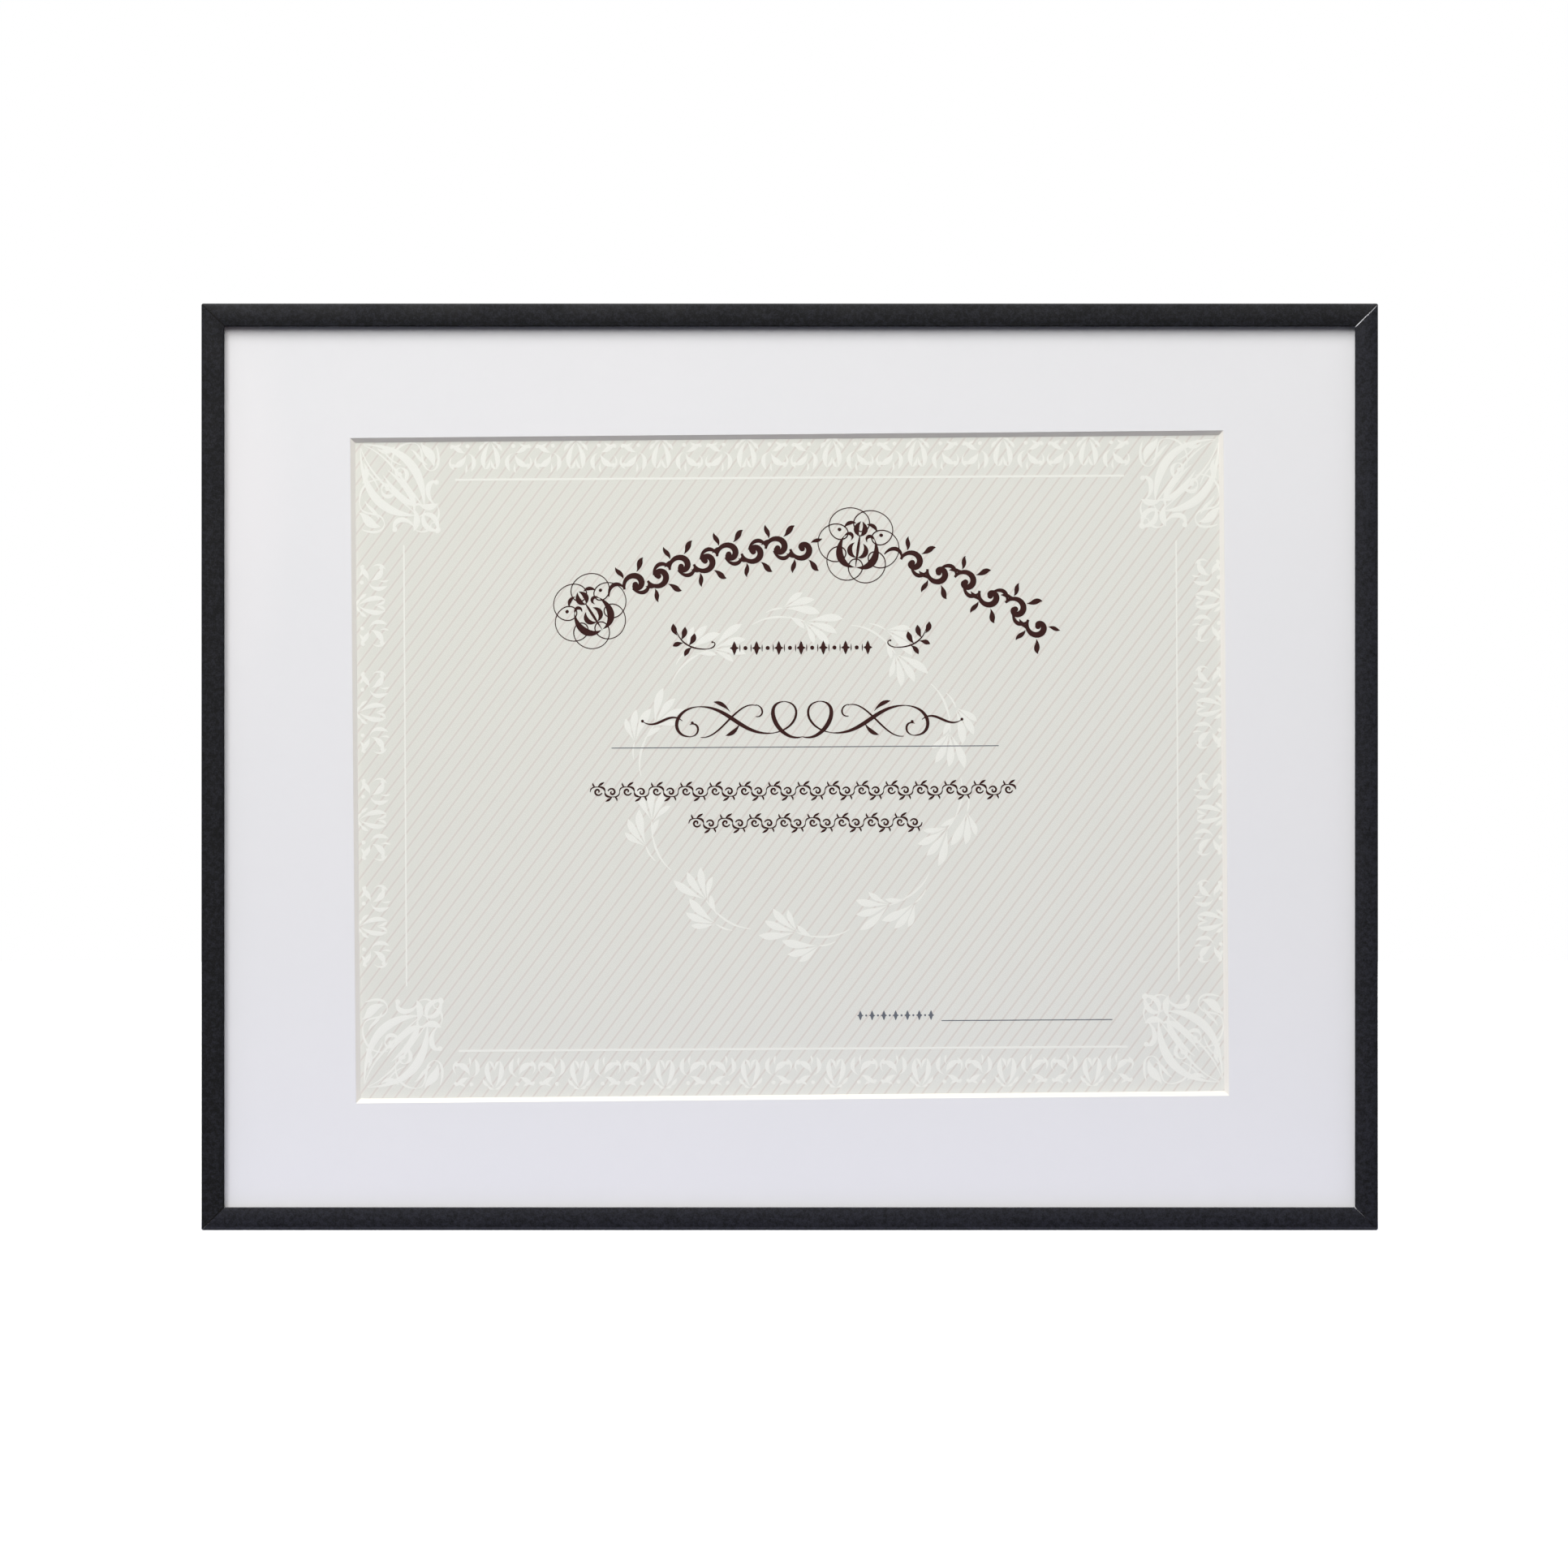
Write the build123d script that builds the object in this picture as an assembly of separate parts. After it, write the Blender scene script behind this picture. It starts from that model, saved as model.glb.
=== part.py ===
from build123d import *
from math import sqrt
import os

# A certificate frame of sectional aluminium: four mitred rails round a pack of glass, window
# mat, certificate, mount board and hardboard. Millimetres. Seen from the front, +X is right
# and +Z is up. The front faces -Y, and y = 0 is the wall that the four bumpers rest on.

os.makedirs("parts", exist_ok=True)

# Driving dimensions of the certificate and its mat
sheet_width = 279.4
sheet_height = 215.9
window_cover = 6.35
side_border = 44.45
top_border = 38.1
window_turn = 0.5

# Thicknesses of the pack
glass_thickness = 2.0
mat_thickness = 1.4
sheet_thickness = 0.2
board_thickness = 1.4
backing_thickness = 3.0
tape_thickness = 0.12
tape_clearance = 0.03

# Driving dimensions of the rail's section: widths run in from the outer face, depths back
# from the front
face_width = 7.0
outer_wall = 1.2
inner_wall = 1.2
lip_thickness = 1.4
face_crown = 0.25
rebate_depth = 12.0
web_thickness = 1.2
channel_width = 7.6
channel_depth = 4.2
rear_lip = 1.2
slot_width = 4.2
outer_round = 0.7
inner_round = 0.4
edge_round = 0.3
mitre_gap = 0.05
corner_round = 0.7

# Clearances
pack_clearance = 0.4
slide_clearance = 0.05
key_clearance = 0.2
thread_clearance = 0.05
pin_clearance = 0.05
corner_ease = 0.02
overrun = 5.0

# The sheet's hinges
hinge_spacing = 160.0
hinge_rise_share = 0.75
pendant_width = 25.0
pendant_grip = 12.0
cross_width = 60.0
cross_height = 18.0

# Corner hardware
key_thickness = 2.0
key_reach = 28.0
key_root_round = 0.5
key_heel_chamfer = 1.5
plate_thickness = 1.0
screw_radius = 1.95
screw_place = 19.0
screw_sink = 0.35
screw_slot_width = 0.8
screw_slot_depth = 0.9
screw_tip_chamfer = 0.4

# Spring clips
clip_length = 57.0
clip_width = 9.5
clip_steel = 0.5
clip_crown = 12.0
clip_foot = 3.0
clip_toe_run = 2.6
clip_toe_rise = 1.5
clip_bend = 3.0
clip_inset = 0.8
clip_spread_long = 92.0
clip_spread_short = 62.0

# Hangers
hanger_height = 70.0
hanger_length = 20.0
foot_thickness = 1.4
neck_width = 4.0
neck_length = 16.0
strap_length = 16.0
strap_thickness = 1.1
strap_gap = 0.1
strap_margin = 2.0
knuckle_radius = 1.5
knuckle_reach = 2.4
notch_length = 6.0
notch_depth = 2.5
pin_radius = 0.8
rivet_radius = 1.2
rivet_height = 0.4
eye_thickness = 1.2
eye_barrel = 5.6
eye_neck = 2.2
eye_radius = 6.5
eye_bore = 3.5
eye_reach = 10.5
set_screw_radius = 1.45
set_screw_slot_width = 0.6
set_screw_slot_depth = 0.7

# Wall bumpers
bumper_radius = 4.0
bumper_height = 2.5
bumper_round = 0.6
bumper_from_corner = 45.0

# Sizes that follow
window_width = sheet_width - 2 * window_cover
window_height = sheet_height - 2 * window_cover
glass_width = window_width + 2 * side_border
glass_height = window_height + 2 * top_border
frame_depth = lip_thickness + rebate_depth + web_thickness + channel_depth + rear_lip
outer_width = glass_width + 2 * (pack_clearance + outer_wall)
outer_height = glass_height + 2 * (pack_clearance + outer_wall)
rail_width = outer_wall + channel_width + inner_wall
channel_middle = outer_wall + channel_width / 2
web_front = lip_thickness + rebate_depth
web_back = web_front + web_thickness
lip_front = frame_depth - rear_lip
wall_plane = frame_depth + bumper_height


def y_at(depth):
    """The y of a depth behind the frame's foremost line."""
    return depth - wall_plane


def slab(width, height, front, back):
    """A plate centred on the frame, from one depth to another."""
    plate = Box(width, back - front, height)
    return Pos(0, (y_at(front) + y_at(back)) / 2, 0) * plate


def front_drawing(depth):
    """A sketch plane at a depth, with x to the right, z up and its normal facing the front."""
    return Plane(origin=(0, y_at(depth), 0), x_dir=(1, 0, 0), z_dir=(0, -1, 0))


def prism(outline, front, back):
    """A flat outline in x and z, carried from one depth to another."""
    return extrude(front_drawing(back) * outline, back - front, dir=(0, -1, 0))


def save(solid, node):
    """Write one sub-part under its node's name."""
    solid.label = node
    export_step(solid, "parts/" + node + ".step")


# The rail's section and its four mitred lengths. The section is drawn with x running in from
# the outer face and y running back from the front.
def rail_section():
    """Outline of the extrusion: front lip, outer wall, and the hardware channel at the rear."""
    crown = ThreePointArc((0, face_crown), (face_width / 2, 0), (face_width, face_crown))
    slot_start = channel_middle - slot_width / 2
    slot_end = channel_middle + slot_width / 2
    channel_end = outer_wall + channel_width
    walls = Polyline(
        (face_width, face_crown),
        (face_width, lip_thickness),
        (outer_wall, lip_thickness),
        (outer_wall, web_front),
        (rail_width, web_front),
        (rail_width, frame_depth),
        (slot_end, frame_depth),
        (slot_end, lip_front),
        (channel_end, lip_front),
        (channel_end, web_back),
        (outer_wall, web_back),
        (outer_wall, lip_front),
        (slot_start, lip_front),
        (slot_start, frame_depth),
        (0, frame_depth),
        (0, face_crown),
    )
    face = make_face(crown + walls)
    rounds = [
        ((0, face_crown), outer_round),
        ((face_width, face_crown), inner_round),
        ((face_width, lip_thickness), edge_round),
        ((0, frame_depth), edge_round),
        ((rail_width, frame_depth), edge_round),
        ((rail_width, web_front), edge_round),
    ]
    for place, radius in rounds:
        corner = face.vertices().sort_by_distance((*place, 0))[0]
        face = fillet(corner, radius)
    return face


def mitred_rail(length):
    """One rail lying along x, its outer face at z = 0, cut at 45 degrees at both ends."""
    across = Plane(origin=(-length / 2, y_at(0), 0), x_dir=(0, 0, -1), z_dir=(1, 0, 0))
    bar = extrude(across * rail_section(), length, dir=(1, 0, 0))
    half = length / 2 - mitre_gap * sqrt(2)
    mitres = Polygon(
        (-half, 0),
        (half, 0),
        (half - rail_width, -rail_width),
        (-half + rail_width, -rail_width),
        align=None,
    )
    return bar & prism(mitres, 0, frame_depth)


def placed_rail(turn, length, distance):
    """Turn a rail about y to its side of the frame and round the frame's outer corners. The rounded
    envelope is a hair larger than the frame, so that its rounds cross the rails' outer faces instead
    of only touching them."""
    rail = Rot(0, turn, 0) * Pos(0, 0, distance) * mitred_rail(length)
    outline = RectangleRounded(outer_width + corner_ease, outer_height + corner_ease, corner_round)
    return rail & prism(outline, -overrun, frame_depth + overrun)


save(placed_rail(0, outer_width, outer_height / 2), "top_rail")
save(placed_rail(90, outer_height, outer_width / 2), "right_rail")
save(placed_rail(180, outer_width, outer_height / 2), "bottom_rail")
save(placed_rail(-90, outer_height, outer_width / 2), "left_rail")

# The pack, from the glass back
glass_front = lip_thickness + slide_clearance
mat_front = glass_front + glass_thickness
sheet_front = mat_front + mat_thickness
sheet_back = sheet_front + sheet_thickness
board_front = sheet_back + tape_thickness + tape_clearance
board_back = board_front + board_thickness
backing_back = board_back + backing_thickness


def window_mat():
    """The mat board with its window cut at 45 degrees, widest at the front."""
    board = slab(glass_width, glass_height, mat_front, sheet_front)
    front = front_drawing(mat_front) * Rectangle(window_width, window_height)
    narrowed = Rectangle(window_width - 2 * mat_thickness, window_height - 2 * mat_thickness)
    back = front_drawing(sheet_front) * narrowed
    window = loft([front, back])
    return board - Rot(0, -window_turn, 0) * window


def certificate_sheet():
    """The sheet, turned with the window so that its border runs parallel to the bevel."""
    return Rot(0, -window_turn, 0) * slab(sheet_width, sheet_height, sheet_front, sheet_back)


def hinge_tapes():
    """Two hinges: a pendant glued behind the sheet's top edge, and a cross strip over it."""
    tapes = []
    top = sheet_height / 2
    rise = (top_border - window_cover) * hinge_rise_share
    pendant_height = pendant_grip + rise
    middle = top + (rise - pendant_grip) / 2
    cross_middle = top + cross_height / 2 + tape_clearance
    for side in (-1, 1):
        x = side * hinge_spacing / 2
        pendant = Pos(x, 0, middle) * Box(pendant_width, tape_thickness, pendant_height)
        tapes.append(Pos(0, y_at(sheet_back) + tape_thickness / 2, 0) * pendant)
        cross = Pos(x, 0, cross_middle) * Box(cross_width, tape_thickness, cross_height)
        tapes.append(Pos(0, y_at(sheet_back) - tape_thickness / 2, 0) * cross)
    return Compound([Rot(0, -window_turn, 0) * tape for tape in tapes])


save(slab(glass_width, glass_height, glass_front, mat_front), "glass_pane")
save(window_mat(), "window_mat")
save(certificate_sheet(), "certificate_sheet")
save(hinge_tapes(), "hinge_tapes")
save(slab(glass_width, glass_height, board_front, board_back), "mount_board")
save(slab(glass_width, glass_height, board_back, backing_back), "backing_board")

# Corner hardware in the rear channel
plate_front = web_back + slide_clearance
plate_back = plate_front + plate_thickness
key_back = lip_front - slide_clearance
key_front = key_back - key_thickness
leg_inset = outer_wall + key_clearance
leg_width = channel_width - 2 * key_clearance


def corners():
    """Each corner's name, and which way it lies along x and z."""
    return [
        ("top_left", -1, 1),
        ("top_right", 1, 1),
        ("bottom_left", -1, -1),
        ("bottom_right", 1, -1),
    ]


def corner_place(right, up, along, inward):
    """A point at a corner, by its distances from the two outer faces."""
    return (right * (outer_width / 2 - along), up * (outer_height / 2 - inward))


def angle_outline(right, up):
    """The flat shape of a corner angle: two legs, one in each rail's channel."""
    inner = leg_inset + leg_width
    outline = Polygon(
        corner_place(right, up, leg_inset, leg_inset),
        corner_place(right, up, key_reach, leg_inset),
        corner_place(right, up, key_reach, inner),
        corner_place(right, up, inner, inner),
        corner_place(right, up, inner, key_reach),
        corner_place(right, up, leg_inset, key_reach),
        align=None,
    )
    bend = corner_place(right, up, inner, inner)
    outline = fillet(outline.vertices().sort_by_distance((*bend, 0))[0], key_root_round)
    heel = corner_place(right, up, leg_inset, leg_inset)
    return chamfer(outline.vertices().sort_by_distance((*heel, 0))[0], key_heel_chamfer)


def screw_places(right, up):
    """Where the two screws stand: on each leg's middle line."""
    return [
        corner_place(right, up, screw_place, channel_middle),
        corner_place(right, up, channel_middle, screw_place),
    ]


def corner_key(right, up):
    """The tapped angle that the screws lift against the rear lips."""
    outline = angle_outline(right, up)
    for x, z in screw_places(right, up):
        outline -= Pos(x, z) * Circle(screw_radius + thread_clearance)
    return prism(outline, key_front, key_back)


def slotted_screw(radius, front, back, slot_width, slot_depth, tip_chamfer):
    """A headless screw on its own axis, driven from the rear."""
    screw = prism(Circle(radius), front, back)
    if tip_chamfer:
        screw = chamfer(screw.edges().sort_by(Axis.Y)[0], tip_chamfer)
    slot = Box(2 * radius + overrun, slot_depth, slot_width)
    return screw - Pos(0, y_at(back) - slot_depth / 2, 0) * slot


def corner_screws(right, up):
    """The two grub screws of one corner."""
    back = frame_depth - screw_sink
    screw = slotted_screw(
        screw_radius, plate_back, back, screw_slot_width, screw_slot_depth, screw_tip_chamfer
    )
    return Compound([Pos(x, 0, z) * screw for x, z in screw_places(right, up)])


for corner, right, up in corners():
    save(corner_key(right, up), "corner_key_" + corner)
    save(prism(angle_outline(right, up), plate_front, plate_back), "backup_plate_" + corner)
    save(corner_screws(right, up), "corner_screws_" + corner)


# Spring clips between the backing and the rails
def spring_clip():
    """A bowed strip lying along x: flat crown against the rail, feet on the backing."""
    low = y_at(backing_back) + clip_steel / 2
    high = y_at(web_front) - slide_clearance - clip_steel / 2
    toe = clip_length / 2
    foot = toe - clip_toe_run
    half = [
        (toe, low + clip_toe_rise),
        (foot, low),
        (foot - clip_foot, low),
        (clip_crown / 2, high),
    ]
    points = half + [(-x, y) for x, y in reversed(half)]
    bends = [clip_foot / 4, clip_bend, clip_bend, clip_bend, clip_bend, clip_foot / 4]
    path = FilletPolyline(*points, radius=bends)
    along = Vector(clip_toe_run, -clip_toe_rise)
    start = Plane(origin=(toe, low + clip_toe_rise, 0), x_dir=(0, 0, 1), z_dir=(-along.X, along.Y, 0))
    return sweep(start * Rectangle(clip_width, clip_steel), path)


def placed_clip(turn, distance, along):
    """A clip under one rail, lying over the pack's edge."""
    drop = distance - outer_wall - clip_inset - clip_width / 2
    return Rot(0, turn, 0) * Pos(along, 0, drop) * spring_clip()


def save_clips(turn, distance, along, first, last):
    """Two clips under one rail, either side of its middle."""
    save(placed_clip(turn, distance, -along), "spring_clip_" + first)
    save(placed_clip(turn, distance, along), "spring_clip_" + last)


save_clips(0, outer_height / 2, clip_spread_long, "top_left", "top_right")
save_clips(180, outer_height / 2, clip_spread_long, "bottom_right", "bottom_left")
save_clips(90, outer_width / 2, clip_spread_short, "right_upper", "right_lower")
save_clips(-90, outer_width / 2, clip_spread_short, "left_lower", "left_upper")

# Hangers in the side rails
foot_back = lip_front - slide_clearance
foot_front = foot_back - foot_thickness
strap_front = frame_depth + strap_gap
strap_back = strap_front + strap_thickness
pin_in = rail_width + knuckle_reach
pin_depth = frame_depth
barrel_bore = pin_radius + pin_clearance


def barrel(radius, length, x):
    """A cylinder along z through the hinge pin's line."""
    return Pos(x, y_at(pin_depth), 0) * Cylinder(radius, length)


def hanger_base(side):
    """Foot in the channel, neck through its slot, and a strap that ends in two knuckles."""
    foot_x = side * (outer_width / 2 - channel_middle)
    pin_x = side * (outer_width / 2 - pin_in)
    strap_out = side * (outer_width / 2 - strap_margin)
    foot = prism(Pos(foot_x, 0) * Rectangle(leg_width, hanger_length), foot_front, foot_back)
    neck = prism(Pos(foot_x, 0) * Rectangle(neck_width, neck_length), foot_back, strap_front)
    strap_middle = (strap_out + pin_x) / 2
    strap_outline = Pos(strap_middle, 0) * Rectangle(abs(strap_out - pin_x), strap_length)
    strap = prism(strap_outline, strap_front, strap_back)
    ends = strap.edges().filter_by(Axis.Y).sort_by_distance((strap_out, y_at(strap_front), 0))
    strap = fillet(ends[:2], strap_margin)
    base = foot + neck + strap + barrel(knuckle_radius, strap_length, pin_x)
    notch = Box(2 * notch_depth, 2 * overrun, notch_length)
    base -= Pos(pin_x, y_at(pin_depth), 0) * notch
    base -= barrel(barrel_bore, strap_length + overrun, pin_x)
    hole = Pos(foot_x, 0) * Circle(set_screw_radius + thread_clearance)
    return base - prism(hole, web_back, wall_plane)


def hanger_screw(side):
    """The set screw that clamps a hanger to its rail."""
    foot_x = side * (outer_width / 2 - channel_middle)
    front = web_back + slide_clearance
    screw = slotted_screw(
        set_screw_radius, front, strap_back, set_screw_slot_width, set_screw_slot_depth, 0
    )
    return Pos(foot_x, 0, 0) * screw


def hanger_pin(side):
    """The hinge pin, riveted over at both ends."""
    pin_x = side * (outer_width / 2 - pin_in)
    pin = barrel(pin_radius, strap_length, pin_x)
    for end in (-1, 1):
        pin += Pos(0, 0, end * (strap_length + rivet_height) / 2) * barrel(
            rivet_radius, rivet_height, pin_x
        )
    return pin


def hanger_eye(side):
    """The swivelling plate: barrel on the pin, a neck, and a round end with the hanging hole."""
    pin_x = side * (outer_width / 2 - pin_in)
    hole_x = pin_x - side * eye_reach
    neck_end = Pos(pin_x - side * (eye_neck + knuckle_radius / 2), 0)
    flare = neck_end * Rectangle(knuckle_radius, eye_barrel)
    disc = Pos(hole_x, 0) * Circle(eye_radius)
    outline = make_hull(flare.edges() + disc.edges())
    outline += Pos(pin_x - side * eye_neck / 2, 0) * Rectangle(eye_neck, eye_barrel)
    plate = prism(outline, pin_depth - eye_thickness / 2, pin_depth + eye_thickness / 2)
    eye = plate + barrel(knuckle_radius, eye_barrel, pin_x)
    eye -= barrel(barrel_bore, strap_length, pin_x)
    hole = Pos(hole_x, 0) * Circle(eye_bore)
    return eye - prism(hole, pin_depth - eye_thickness, pin_depth + eye_thickness)


for name, side in (("left", -1), ("right", 1)):
    height = Pos(0, 0, hanger_height)
    save(height * hanger_base(side), "hanger_base_" + name)
    save(height * hanger_screw(side), "hanger_screw_" + name)
    save(height * hanger_pin(side), "hanger_pin_" + name)
    save(height * hanger_eye(side), "hanger_eye_" + name)


# Wall bumpers on the rear of the long rails
def wall_bumper(right, up):
    """A round rubber foot across the channel's slot."""
    x, z = corner_place(right, up, bumper_from_corner, channel_middle)
    foot = prism(Circle(bumper_radius), frame_depth, wall_plane)
    foot = fillet(foot.edges().sort_by(Axis.Y)[-1], bumper_round)
    return Pos(x, 0, z) * foot


for corner, right, up in corners():
    save(wall_bumper(right, up), "wall_bumper_" + corner)
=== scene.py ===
# %% [markdown]
# # A framed certificate
# The real object is a slim aluminium picture frame, coated black, that holds a pane of glass, a bevelled
# window mat and a printed certificate. Its construction is already modelled, so this lesson gives it its
# looks: light, finishes, and the print on the sheet.
# We start by loading that model as a fixed frame. Everything is in metres, and X runs to the right, Z up,
# and Y away from the viewer, with the wall at y = 0.

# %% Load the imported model
import math

import bpy
import numpy as np
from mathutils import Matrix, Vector


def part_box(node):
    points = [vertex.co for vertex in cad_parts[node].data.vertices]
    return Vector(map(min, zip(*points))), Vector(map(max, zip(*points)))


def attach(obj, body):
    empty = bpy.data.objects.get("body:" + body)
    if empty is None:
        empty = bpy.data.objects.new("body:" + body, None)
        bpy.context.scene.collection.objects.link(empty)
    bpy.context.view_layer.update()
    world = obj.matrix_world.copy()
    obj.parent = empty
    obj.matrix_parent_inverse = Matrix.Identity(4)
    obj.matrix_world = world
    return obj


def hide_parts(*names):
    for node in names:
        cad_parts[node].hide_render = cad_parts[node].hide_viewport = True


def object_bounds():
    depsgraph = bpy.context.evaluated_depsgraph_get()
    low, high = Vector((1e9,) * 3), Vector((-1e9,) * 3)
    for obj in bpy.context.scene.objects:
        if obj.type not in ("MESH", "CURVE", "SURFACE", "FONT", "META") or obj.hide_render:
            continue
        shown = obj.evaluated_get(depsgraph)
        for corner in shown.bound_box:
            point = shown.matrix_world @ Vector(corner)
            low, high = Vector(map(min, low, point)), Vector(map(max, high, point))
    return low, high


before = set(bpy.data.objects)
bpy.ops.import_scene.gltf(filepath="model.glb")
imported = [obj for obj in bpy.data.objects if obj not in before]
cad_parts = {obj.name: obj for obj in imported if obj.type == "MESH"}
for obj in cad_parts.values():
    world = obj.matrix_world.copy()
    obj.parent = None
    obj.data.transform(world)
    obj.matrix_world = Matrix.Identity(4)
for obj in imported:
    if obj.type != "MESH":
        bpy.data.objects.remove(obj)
cad_low, cad_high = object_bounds()

MM = 0.001
half_width = cad_high.x / MM
half_height = cad_high.z / MM
front_y = cad_low.y / MM
print(f"frame {2 * half_width:.1f} x {2 * half_height:.1f} mm, front face at y {front_y:.1f} mm")

# %% [markdown]
# ## The camera
# The photograph looks straight at the frame, which lies a little right of the picture's middle and a
# little above it. A lens shift could do that, or the camera can simply stand a little to the left and
# lower. We move the camera, because then its lens needs no shift and every other view stays plain.
# The field of view follows from one measurement: how many pixels a millimetre takes.

# %% Camera
IMAGE_PIXELS = 1932
PIXELS_PER_MM = 4.042
FRAME_MIDDLE_PX = (973.05, 944.9)
CAMERA_DISTANCE = 2.0
SENSOR_WIDTH = 36.0

view_width = IMAGE_PIXELS / PIXELS_PER_MM * MM
off_right = (IMAGE_PIXELS / 2 - FRAME_MIDDLE_PX[0]) / PIXELS_PER_MM * MM
off_up = (FRAME_MIDDLE_PX[1] - IMAGE_PIXELS / 2) / PIXELS_PER_MM * MM

camera_data = bpy.data.cameras.new("camera")
camera_data.sensor_width = SENSOR_WIDTH
camera_data.lens = SENSOR_WIDTH * CAMERA_DISTANCE / view_width
camera = bpy.data.objects.new("camera", camera_data)
camera.location = (off_right, cad_low.y - CAMERA_DISTANCE, off_up)
camera.rotation_euler = (math.radians(90), 0, 0)
scene = bpy.context.scene
scene.collection.objects.link(camera)
scene.camera = camera
scene.view_settings.view_transform = "Standard"
print(f"lens {camera_data.lens:.1f} mm, view {view_width / MM:.0f} mm wide")

# %% [markdown]
# ## Writing shader maths as Python
# A material is a net of nodes, and building one by hand takes many lines. We wrap an output socket in a
# small class that knows Python's arithmetic, so that `1 - mask` adds a Math node by itself. Colours and
# vectors keep to Mix and Vector Math nodes, because a Math node would turn a colour grey.
# One method makes every other node: its settings come first, because they decide which sockets it has.

# %% Values and finishes


class Value:
    """An output socket that Python can do sums with. Each sum adds one Math node."""

    def __init__(self, finish, socket):
        self.finish = finish
        self.socket = socket

    def also(self, output):
        """Another output of the same node."""
        return Value(self.finish, self.socket.node.outputs[output])

    def maths(self, operation, *values):
        return self.finish.node("ShaderNodeMath", {"operation": operation}, dict(enumerate(values)))

    def __add__(self, other):
        return self.maths("ADD", self, other)

    def __sub__(self, other):
        return self.maths("SUBTRACT", self, other)

    def __rsub__(self, other):
        return self.maths("SUBTRACT", other, self)

    def __mul__(self, other):
        return self.maths("MULTIPLY", self, other)

    def __truediv__(self, other):
        return self.maths("DIVIDE", self, other)

    __radd__ = __add__
    __rmul__ = __mul__

    def __abs__(self):
        return self.maths("ABSOLUTE", self)

    def most(self, other):
        return self.maths("MAXIMUM", self, other)

    def wave(self):
        return self.maths("SINE", self)

    def step(self, low, high):
        """0 at low and 1 at high, with a soft start and stop between them."""
        return self.finish.node(
            "ShaderNodeMapRange",
            {"interpolation_type": "SMOOTHSTEP"},
            {"Value": self, "From Min": low, "From Max": high},
        )


class Finish:
    """A material, or the world, whose nodes are being put together."""

    def __init__(self, owner):
        self.owner = owner
        owner.use_nodes = True
        self.tree = owner.node_tree
        self.tree.nodes.clear()

    def node(self, kind, settings=None, sockets=None, out=0):
        """Adds a node: sets its settings, then gives each socket its number or link. Returns output out."""
        made = self.tree.nodes.new(kind)
        for name, setting in (settings or {}).items():
            setattr(made, name, setting)
        for name, given in (sockets or {}).items():
            if isinstance(given, Value):
                self.tree.links.new(given.socket, made.inputs[name])
            else:
                made.inputs[name].default_value = given
        return Value(self, made.outputs[out]) if out is not None else None

    def spot(self, stretch=(1, 1, 1)):
        """The place on the object in millimetres, each axis multiplied by its stretch."""
        seat = self.node("ShaderNodeTexCoord", out="Object")
        per_mm = tuple(s / MM for s in stretch)
        return self.node("ShaderNodeVectorMath", {"operation": "MULTIPLY"}, {0: seat, 1: per_mm})

    def axes(self):
        """x, y and z of the place on the object, in millimetres."""
        x = self.node("ShaderNodeSeparateXYZ", sockets={0: self.spot()})
        return x, x.also("Y"), x.also("Z")

    def grain(self, size, stretch=(1, 1, 1), detail=2.0, rough=0.5):
        """Smooth noise from 0 to 1, with spots about size millimetres across."""
        return self.node(
            "ShaderNodeTexNoise",
            sockets={"Vector": self.spot(stretch), "Scale": 1 / size, "Detail": detail, "Roughness": rough},
        )

    def tint(self, mask, plain, marked):
        """The colour plain, turning to marked where mask is 1."""
        return self.node("ShaderNodeMix", {"data_type": "RGBA"}, {0: mask, 6: plain, 7: marked}, out=2)

    def bump(self, height, depth):
        """A normal that shows height, from 0 to 1, as a relief depth millimetres high."""
        return self.node("ShaderNodeBump", sockets={"Height": height, "Distance": depth * MM})

    def principled(self, **sockets):
        """A Principled shader. Socket names are written with _ for each space."""
        named = {name.replace("_", " "): given for name, given in sockets.items()}
        return self.node("ShaderNodeBsdfPrincipled", sockets=named)

    def mix(self, mask, plain, marked):
        """The shader plain, turning to marked where mask is 1."""
        return self.node("ShaderNodeMixShader", sockets={0: mask, 1: plain, 2: marked})

    def done(self, shader):
        """Links the finished shader to the output, and returns the material or world."""
        kind = "World" if isinstance(self.owner, bpy.types.World) else "Material"
        self.node(f"ShaderNodeOutput{kind}", sockets={"Surface": shader}, out=None)
        return self.owner


def paint(red, green, blue):
    """Linear RGBA of a colour given as screen numbers from 0 to 255."""
    screen = np.array([red, green, blue]) / 255
    linear = np.where(screen > 0.04045, ((screen + 0.055) / 1.055) ** 2.4, screen / 12.92)
    return (*linear.tolist(), 1.0)


def material(name):
    return Finish(bpy.data.materials.new(name))


def dress(finish, *names):
    """Gives the material to each named CAD node."""
    for name in names:
        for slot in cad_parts[name].material_slots:
            slot.material = finish
    print(f"{finish.name}: {', '.join(names)}")


# %% [markdown]
# ## Studio: pale floor, white background, soft lamps
# A product photograph on white is usually overlit behind the object. Turning the lamps up until the
# background burns out would burn out the mat too. Instead the world shows white only to the rays that are
# looked along, that is camera, glossy and transmission rays, and stays dim for the light it sheds.
# The floor does the same, but keeps part of its own shading, so that the frame's shadow still lies on it.
# Far out its glow rises to full white, and no horizon shows.

# %% World and floor
AMBIENT = 0.47
FLOOR_SIZE = 6.0
FLOOR_GLOW = 0.62
GLOW_NEAR, GLOW_FAR = 500.0, 2600.0


def looked_along(finish):
    """1 for camera, glossy and transmission rays, as the greatest of their three flags, and 0 for others."""
    ray = finish.node("ShaderNodeLightPath", out="Is Camera Ray")
    return ray.most(ray.also("Is Glossy Ray")).most(ray.also("Is Transmission Ray"))


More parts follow.
